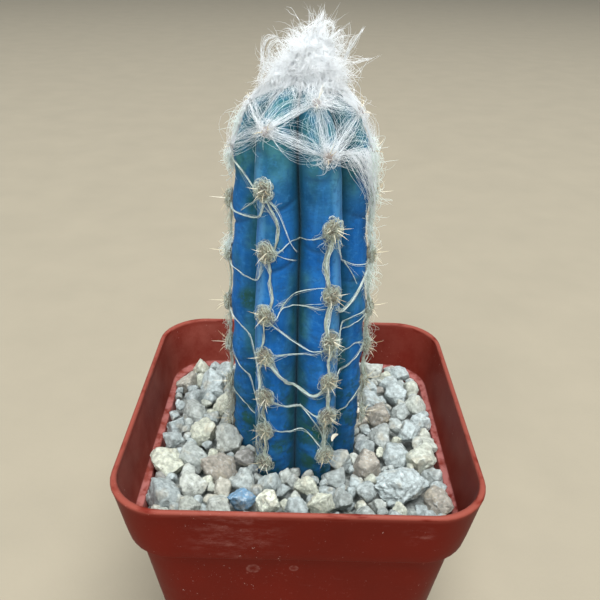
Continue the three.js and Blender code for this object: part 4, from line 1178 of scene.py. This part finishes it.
def rope(rib, low, high, width, sway, rng):
    """The fibres of a rope from one areole to the next above it, which hangs beside the crest by sway."""
    heights = np.linspace(AREOLES[rib][low] + 0.8, AREOLES[rib][high] - 0.8, 5)
    spread = np.array([sway * 0.8, sway, sway, sway * 0.6, 0]) + rng.normal(0, 0.8, 5)
    spread = spread + RIB_ANGLES[rib] + twist_at(heights)
    route = from_front(spread, stem_radius(spread, heights) + 0.7, heights)
    return bundle(line_through(route, 24), int(8 + width * 34), width, rng, fray=0.15 + width * 0.15, twist=3)


def mat(rib, top, bottom, count, longest, rng):
    """Loose hairs that hang along a rib in curly puffs, and single ones that stand off it."""
    puffs = np.sort(rng.uniform(bottom, top, 2 + count // PUFF["hairs"]))
    own = rng.integers(0, len(puffs) - 1, count)
    to_next, short = rng.random(count) < PUFF["reach_next"], rng.uniform(0.3, 0.8, count) * longest
    fall = np.where(to_next, puffs[own + 1] - puffs[own], short)
    heights = puffs[own] + [[1], [0]] * fall + rng.normal(0, 0.7, (2, count))
    aside = rng.normal(MAT_LEAN[rib], 4, len(puffs))[own] + rng.normal(0, 2.5, (2, count))
    degrees = RIB_ANGLES[rib] + twist_at(heights) + aside
    distance = stem_radius(degrees, heights) + rng.uniform(0.2, 1.2, (2, count))
    starts, ends = from_front(degrees, distance, heights)
    paths = between(starts, ends, PUFF["bow"], rng, places=8, stand=PUFF["stand"])
    free = rng.random(count) < PUFF["free"]
    headings = outward(starts) * rng.uniform(0.2, 1, (count, 1)) + rng.normal(0, 0.4, (count, 3))
    lengths = longest * rng.uniform(0.4, 1, count)
    loose = grow(starts, headings - (0, 0, 0.7), lengths, rng, bend=0.25)
    return np.where(free[:, None, None], settled(loose, np.ones(count), np.ones(count)), paths)


def row_wool(rib, rng):
    """The parts of one rib's wool: cushions, ropes and loose mats."""
    tan = tan_areoles(rib)
    parts = []
    for index in tan:
        spot = areole(rib, index)
        parts.append((*felt(spot, rng), 0.08))
        paths, light = tangle(spot, CUSHION["fibres"], rng)
        parts.append(wool(paths, (0.06, 0.035, (light * 0.2, light + 0.45)), rng))
        parts += [sprouting(spot, kind, rng) for kind in ("curl", "low curl")]
    for low, high, (width, sway) in zip(tan, tan[1:], ROPES[rib]):
        parts.append(wool(rope(rib, low, high, width, sway, rng), HAIR["rope"], rng))
    for top, bottom, count, longest, tones in MATS[rib]:
        parts.append(wool(mat(rib, top, bottom, count, longest, rng), (0.05, 0.025, tones), rng))
    return parts


def strand_parts(path, thickness, rng):
    """A cord over a groove, a few loose hairs that follow it, and the small webs where it meets a cushion."""
    body = 0.034 + thickness * 0.055
    parts = [wool(cord(path, thickness, rng), (body, body * 0.8, (0.65, 1)), rng)]
    stray = bundle(path, 2 + round(thickness * 5), 0.15 + thickness * 0.25, rng, places=12, loose=0.2)
    parts.append(wool(stray, HAIR["stray"], rng))
    cushions = [areole(rib, i)["place"] for rib in range(len(RIB_ANGLES)) for i in tan_areoles(rib)]
    for route in (path, path[::-1]):
        if np.linalg.norm(cushions - route[0], axis=1).min() > SPLAY_REACH:
            continue
        count = 6 + round(thickness * 14)
        splits = route[rng.integers(5, 11, count)]
        ends = route[0] + rng.normal(0, 1.2, (count, 3)) * (1, 1, 1.3)
        parts.append(wool(between(splits, ends, 0.15, rng, places=5), HAIR["splay"], rng))
    return parts


def crossing_strands():
    """The routes of the cords over the grooves and their thickness, in a list for each rib."""
    crossing = [[] for _ in RIB_ANGLES]
    for thickness, places in FRONT_STRANDS:
        rib = int(rib_at(places[0][0])[0])
        crossing[rib].append((strand_route(places, 0.45), thickness))
    for rib, first, second, sag in BACK_STRANDS:
        start = beside(areole(rib, first), 1)
        end = beside(areole((rib + 1) % len(RIB_ANGLES), second), 1)
        middle = off_the_skin((start + end) / 2 - (0, 0, sag), 0.6)
        crossing[rib].append((line_through([start, middle, end], 40), 0.5))
    return crossing


def flakes(rib):
    """Dry flakes that stick to the skin beside the lower areoles of a rib: thin curled leaves."""
    points, faces = BALLS[3]
    u, v, w = points.T[..., None]
    parts = []
    for z, aside, tilt, size in FLAKES.get(rib, []):
        degrees = RIB_ANGLES[rib] + aside
        place = from_front(degrees, stem_radius(degrees, z), z)
        out, side = unit(place * (1, 1, 0)), from_front(degrees + 90, 1.0, 0.0)
        along = math.cos(tilt) * side + math.sin(tilt) * np.array([0, 0, 1.0])
        leaf = place + along * u * size + np.cross(out, along) * v * size * 0.6
        leaf = leaf + out * (0.5 * u**2 * size + 0.8 + w * 0.12)
        parts.append((leaf, faces, 0.9))
    return parts


def build_rows(wool_material, spine_material):
    for rib, strands in enumerate(crossing_strands()):
        rng = np.random.default_rng(100 + rib)
        parts = row_wool(rib, rng)
        for path, thickness in strands:
            parts += strand_parts(path, thickness, rng)
        row = f"areole_row_{rib + 1}"
        plant_piece(row + "_wool", *joined(parts), wool_material, "tan_wool", row)
        draws = zip(tan_areoles(rib), row_draws(rib))
        spines = [spine_paths(areole(rib, index), draw, rng, WHISKER_SPINES) for index, draw in draws]
        parts = [wool(np.concatenate(spines), HAIR["spine"], rng, sides=4), *flakes(rib)]
        plant_piece(row + "_spines", *joined(parts), spine_material, "tan_wool", row)


# The crown
def white_spots():
    """Each areole that bears white wool, with its rib."""
    rows = enumerate(AREOLES)
    return [(rib, areole(rib, i)) for rib, row in rows for i, z in enumerate(row) if z > WHITE_ABOVE]


def lobe(middle, size, count, stand, rng):
    """A lobe of the tuft: its felted middle, and the curly locks round it."""
    points, faces = BALLS[4]
    rough = 1 + fractal(points + np.array(middle), 0.3, 4) * 0.16
    felted = (points * rough[:, None] * size * LOBE_CORE + middle, faces, 0.8)
    out = unit(rng.normal(size=(count, 3)) + (0, 0, 0.25))
    roots = out * size * rng.uniform(*LOCK["roots"], (count, 1)) + middle
    along = unit(np.cross(out, rng.normal(size=(count, 3)))) * 1.1
    along = along + out * rng.uniform(-0.3, stand, (count, 1))
    locks = np.repeat(np.arange(count), LOCK["hairs"])
    jitter = rng.normal(0, 1, (2, len(locks), 3))
    lengths = rng.uniform(*LOCK["length"], count)[locks] * rng.uniform(0.6, 1.1, len(locks))
    starts = roots[locks] + jitter[0] * LOCK["spread"]
    headings = along[locks] + (0, 0, 0.35) + jitter[1] * LOCK["part"]
    hairs = grow(starts, headings, lengths, rng, LOCK["bend"], waver=0.12, group=locks)
    return [felted, wool(off_the_skin(hairs, 0.25), HAIR["lock"], rng)]


def tuft_parts(rng):
    """The tuft on the tip: its lobes, and the wisps that stand out of it."""
    parts = []
    for shape in TUFT:
        parts += lobe(*shape, rng)
    for count, route in WISPS:
        path = line_through([(x, rng.uniform(-1.5, 1), z) for x, z in route], 24)
        wisp = bundle(path, count, 0.9, rng, ends=(1.3, 0.2), twist=0.8, loose=0.2)
        parts.append(wool(wisp, HAIR["wisp"], rng))
    return parts


def fan(one, other, bow, kind, rng):
    """A part of hairs from one cushion to another, which part on the way by about bow."""
    each = (2, WEB_HAIRS[kind])
    starts, ends = (beside(spot, 0.7, *rng.normal(0, 0.8, each)) for spot in (one, other))
    return wool(between(starts, ends, bow, rng, places=8, lift=0.3), HAIR[kind], rng)


def net(spots, rng):
    """A tight and a loose fan of hair between any two near cushions, on one rib or on two that meet."""
    parts = []
    for i, (rib, one) in enumerate(spots):
        for other_rib, other in spots[i + 1 :]:
            apart = abs(rib - other_rib)
            near = np.linalg.norm(one["place"] - other["place"]) < WEB_REACH
            if near and min(apart, len(RIB_ANGLES) - apart) < 2:
                parts.append(fan(one, other, rng.uniform(0.25, 0.9), "net", rng))
                parts.append(fan(one, other, 2.6, "loose net", rng))
    return parts


def climbing(spot, count, rng):
    """A broad veil of hairs from one of the topmost cushions up into the tuft."""
    starts = beside(spot, rng.uniform(0.3, 1.3, count), *rng.normal(0, 1.5, (2, count)))
    turn, reach = rng.uniform(0, 2 * np.pi, count), 6 * np.sqrt(rng.random(count))
    ends = TUFT_FOOT + np.stack([np.cos(turn) * reach, np.sin(turn) * reach, rng.uniform(0, 3.5, count)], -1)
    return between(starts, ends, 1.5, rng, places=8, lift=0.4)


def scattered(count, rng):
    """Paths of single fine hairs that lie every way over the upper part of the stem."""
    degrees, heights = rng.uniform(0, 360, count), 170 - 13 * rng.random(count) ** 1.3
    distance = stem_radius(degrees, heights) * np.sqrt(rng.uniform(0.3, 1, count))
    roots = off_the_skin(from_front(degrees, distance, heights), 0.3)
    headings = unit(rng.normal(size=(count, 3))) + outward(roots) * 0.3
    paths = grow(roots, headings, rng.uniform(3, 9, count), rng, bend=0.35, places=9)
    return settled(paths, rng.uniform(2, 5, count), rng.uniform(0.3, 1.1, count))


def mantle(count, rng):
    """Hairs that flow from the foot of the tuft down over the shoulders of the stem."""
    degrees = rng.uniform(0, 360, count)
    roots = off_the_skin(from_front(degrees, rng.uniform(3, 9, count), 171.0), 0.5)
    headings = from_front(degrees + rng.normal(0, 40, count), 1.0, rng.uniform(-0.6, 0.3, count))
    lengths, locks = rng.uniform(4, 12, count), rng.integers(0, 1 + count // 5, count)
    paths = grow(roots, headings, lengths, rng, bend=0.2, group=locks)
    return settled(paths, rng.uniform(3, 7, count), rng.uniform(0.3, 1.5, count))


def skirt(count, rng):
    """Hairs that hang from the web's lower edge on the right, down to the uppermost tan areole there."""
    upper, left, lower = areole(3, 6), areole(2, 6), areole(3, 5)
    share = rng.uniform(0.3, 1, (count, 1))
    starts = beside(left, 0.8) * (1 - share) + beside(upper, 0.8) * share + rng.normal(0, 0.5, (count, 3))
    out, aside = rng.uniform(0.3, 1.6, count), rng.normal(-0.8, 1.4, count)
    ends = beside(lower, out, aside, rng.uniform(-6, 7, count))
    return between(starts, ends, 1.1, rng, places=8, lift=0.3)


def web_parts(rng):
    """The white hair on the upper cushions, from one to another, and from the topmost up to the tuft."""
    spots = white_spots()
    parts = net(spots, rng)
    for rib, spot in spots:
        parts.append((*felt(spot, rng, CUSHION["white_size"]), 0.0))
        parts.append(wool(tangle(spot, CUSHION["white_fibres"], rng)[0], HAIR["white cushion"], rng))
        parts.append(sprouting(spot, "star", rng))
        if np.hypot(*spot["place"][:2]) < TOP_OF_RIB:
            parts.append(wool(climbing(spot, VEILS[rib], rng), HAIR["veil"], rng))
    for kind, lay in (("scattered", scattered), ("mantle", mantle), ("skirt", skirt)):
        parts.append(wool(lay(WEB_HAIRS[kind], rng), HAIR[kind], rng))
    return parts


def build_crown(wool_material, spine_material):
    rng = np.random.default_rng(7)
    for name, parts in [("crown_tuft", tuft_parts(rng)), ("crown_web", web_parts(rng))]:
        plant_piece(name, *joined(parts), wool_material, "white_wool", "crown_wool")
    spines = []
    for _, spot in white_spots():
        turns, rises = rng.random(3), rng.uniform(*WHITE_SPINES["rise"], 3)
        draws = list(zip(turns, rises, rng.uniform(*WHITE_SPINES["length"], 3)))
        spines.append(spine_paths(spot, draws, rng, 0))
    parts = [wool(np.concatenate(spines), HAIR["spine"], rng, sides=4)]
    plant_piece("crown_spines", *joined(parts), spine_material, "white_wool", "crown_wool")


# The stage
def build_stage(look):
    mesh = bpy.data.meshes.new("floor")
    corners = [(x * FLOOR_HALF, y * FLOOR_HALF, 0) for x, y in [(-1, -1), (1, -1), (1, 1), (-1, 1)]]
    mesh.from_pydata(corners, [], [(0, 1, 2, 3)])
    mesh.materials.append(look)
    in_scene("floor", mesh)


def build_lights():
    world = bpy.data.worlds.new("soft_light")
    world.use_nodes = True
    background = world.node_tree.nodes["Background"]
    background.inputs["Color"].default_value = SKY["colour"]
    background.inputs["Strength"].default_value = SKY["strength"]
    bpy.context.scene.world = world
    for name, (place, size, power) in LAMPS.items():
        light = bpy.data.lights.new(name, "AREA")
        light.shape, light.size, light.energy, light.color = "DISK", size, power, LAMP_COLOUR
        lamp = in_scene(name, light)
        lamp.location = place
        lamp.rotation_mode = "QUATERNION"
        lamp.rotation_quaternion = (Vector(LAMP_TARGET) - Vector(place)).to_track_quat("-Z", "Y")


def place_camera():
    camera = bpy.data.cameras.new("camera")
    camera.sensor_width = SENSOR
    camera.lens = FOCAL / FRAME_WIDTH * SENSOR
    camera.clip_start, camera.clip_end = CLIP_START, CLIP_END
    flat = math.cos(ELEVATION)
    back = Vector((math.sin(AZIMUTH) * flat, -math.cos(AZIMUTH) * flat, math.sin(ELEVATION)))
    right = back.cross(Vector((0, 0, -1))).normalized()
    up = back.cross(right)
    turned_right = math.cos(ROLL) * right + math.sin(ROLL) * up
    turned_up = math.cos(ROLL) * up - math.sin(ROLL) * right
    axes = Matrix((turned_right, turned_up, back)).transposed().to_4x4()
    holder = in_scene("camera", camera)
    holder.matrix_world = Matrix.Translation(Vector(EYE) * MM) @ axes
    bpy.context.scene.camera = holder


def build_all():
    place_camera()
    build_lights()
    build_stage(floor_look())
    soil_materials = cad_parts["soil"].data.materials
    soil_materials.clear()
    soil_materials.append(soil_look())
    build_pot(pot_look())
    build_gravel(stone_look())
    build_stem(skin_look())
    spine = wool_look("straw_spine", 0.0, 0.2, SPINE_RAMP)
    build_rows(wool_look("tan_wool", 0.5, 0.2, TAN_RAMP), spine)
    build_crown(wool_look("white_wool", 0.8, 0.8, WHITE_RAMP), spine)
    bpy.context.scene.view_settings.view_transform = "Standard"


build_all()
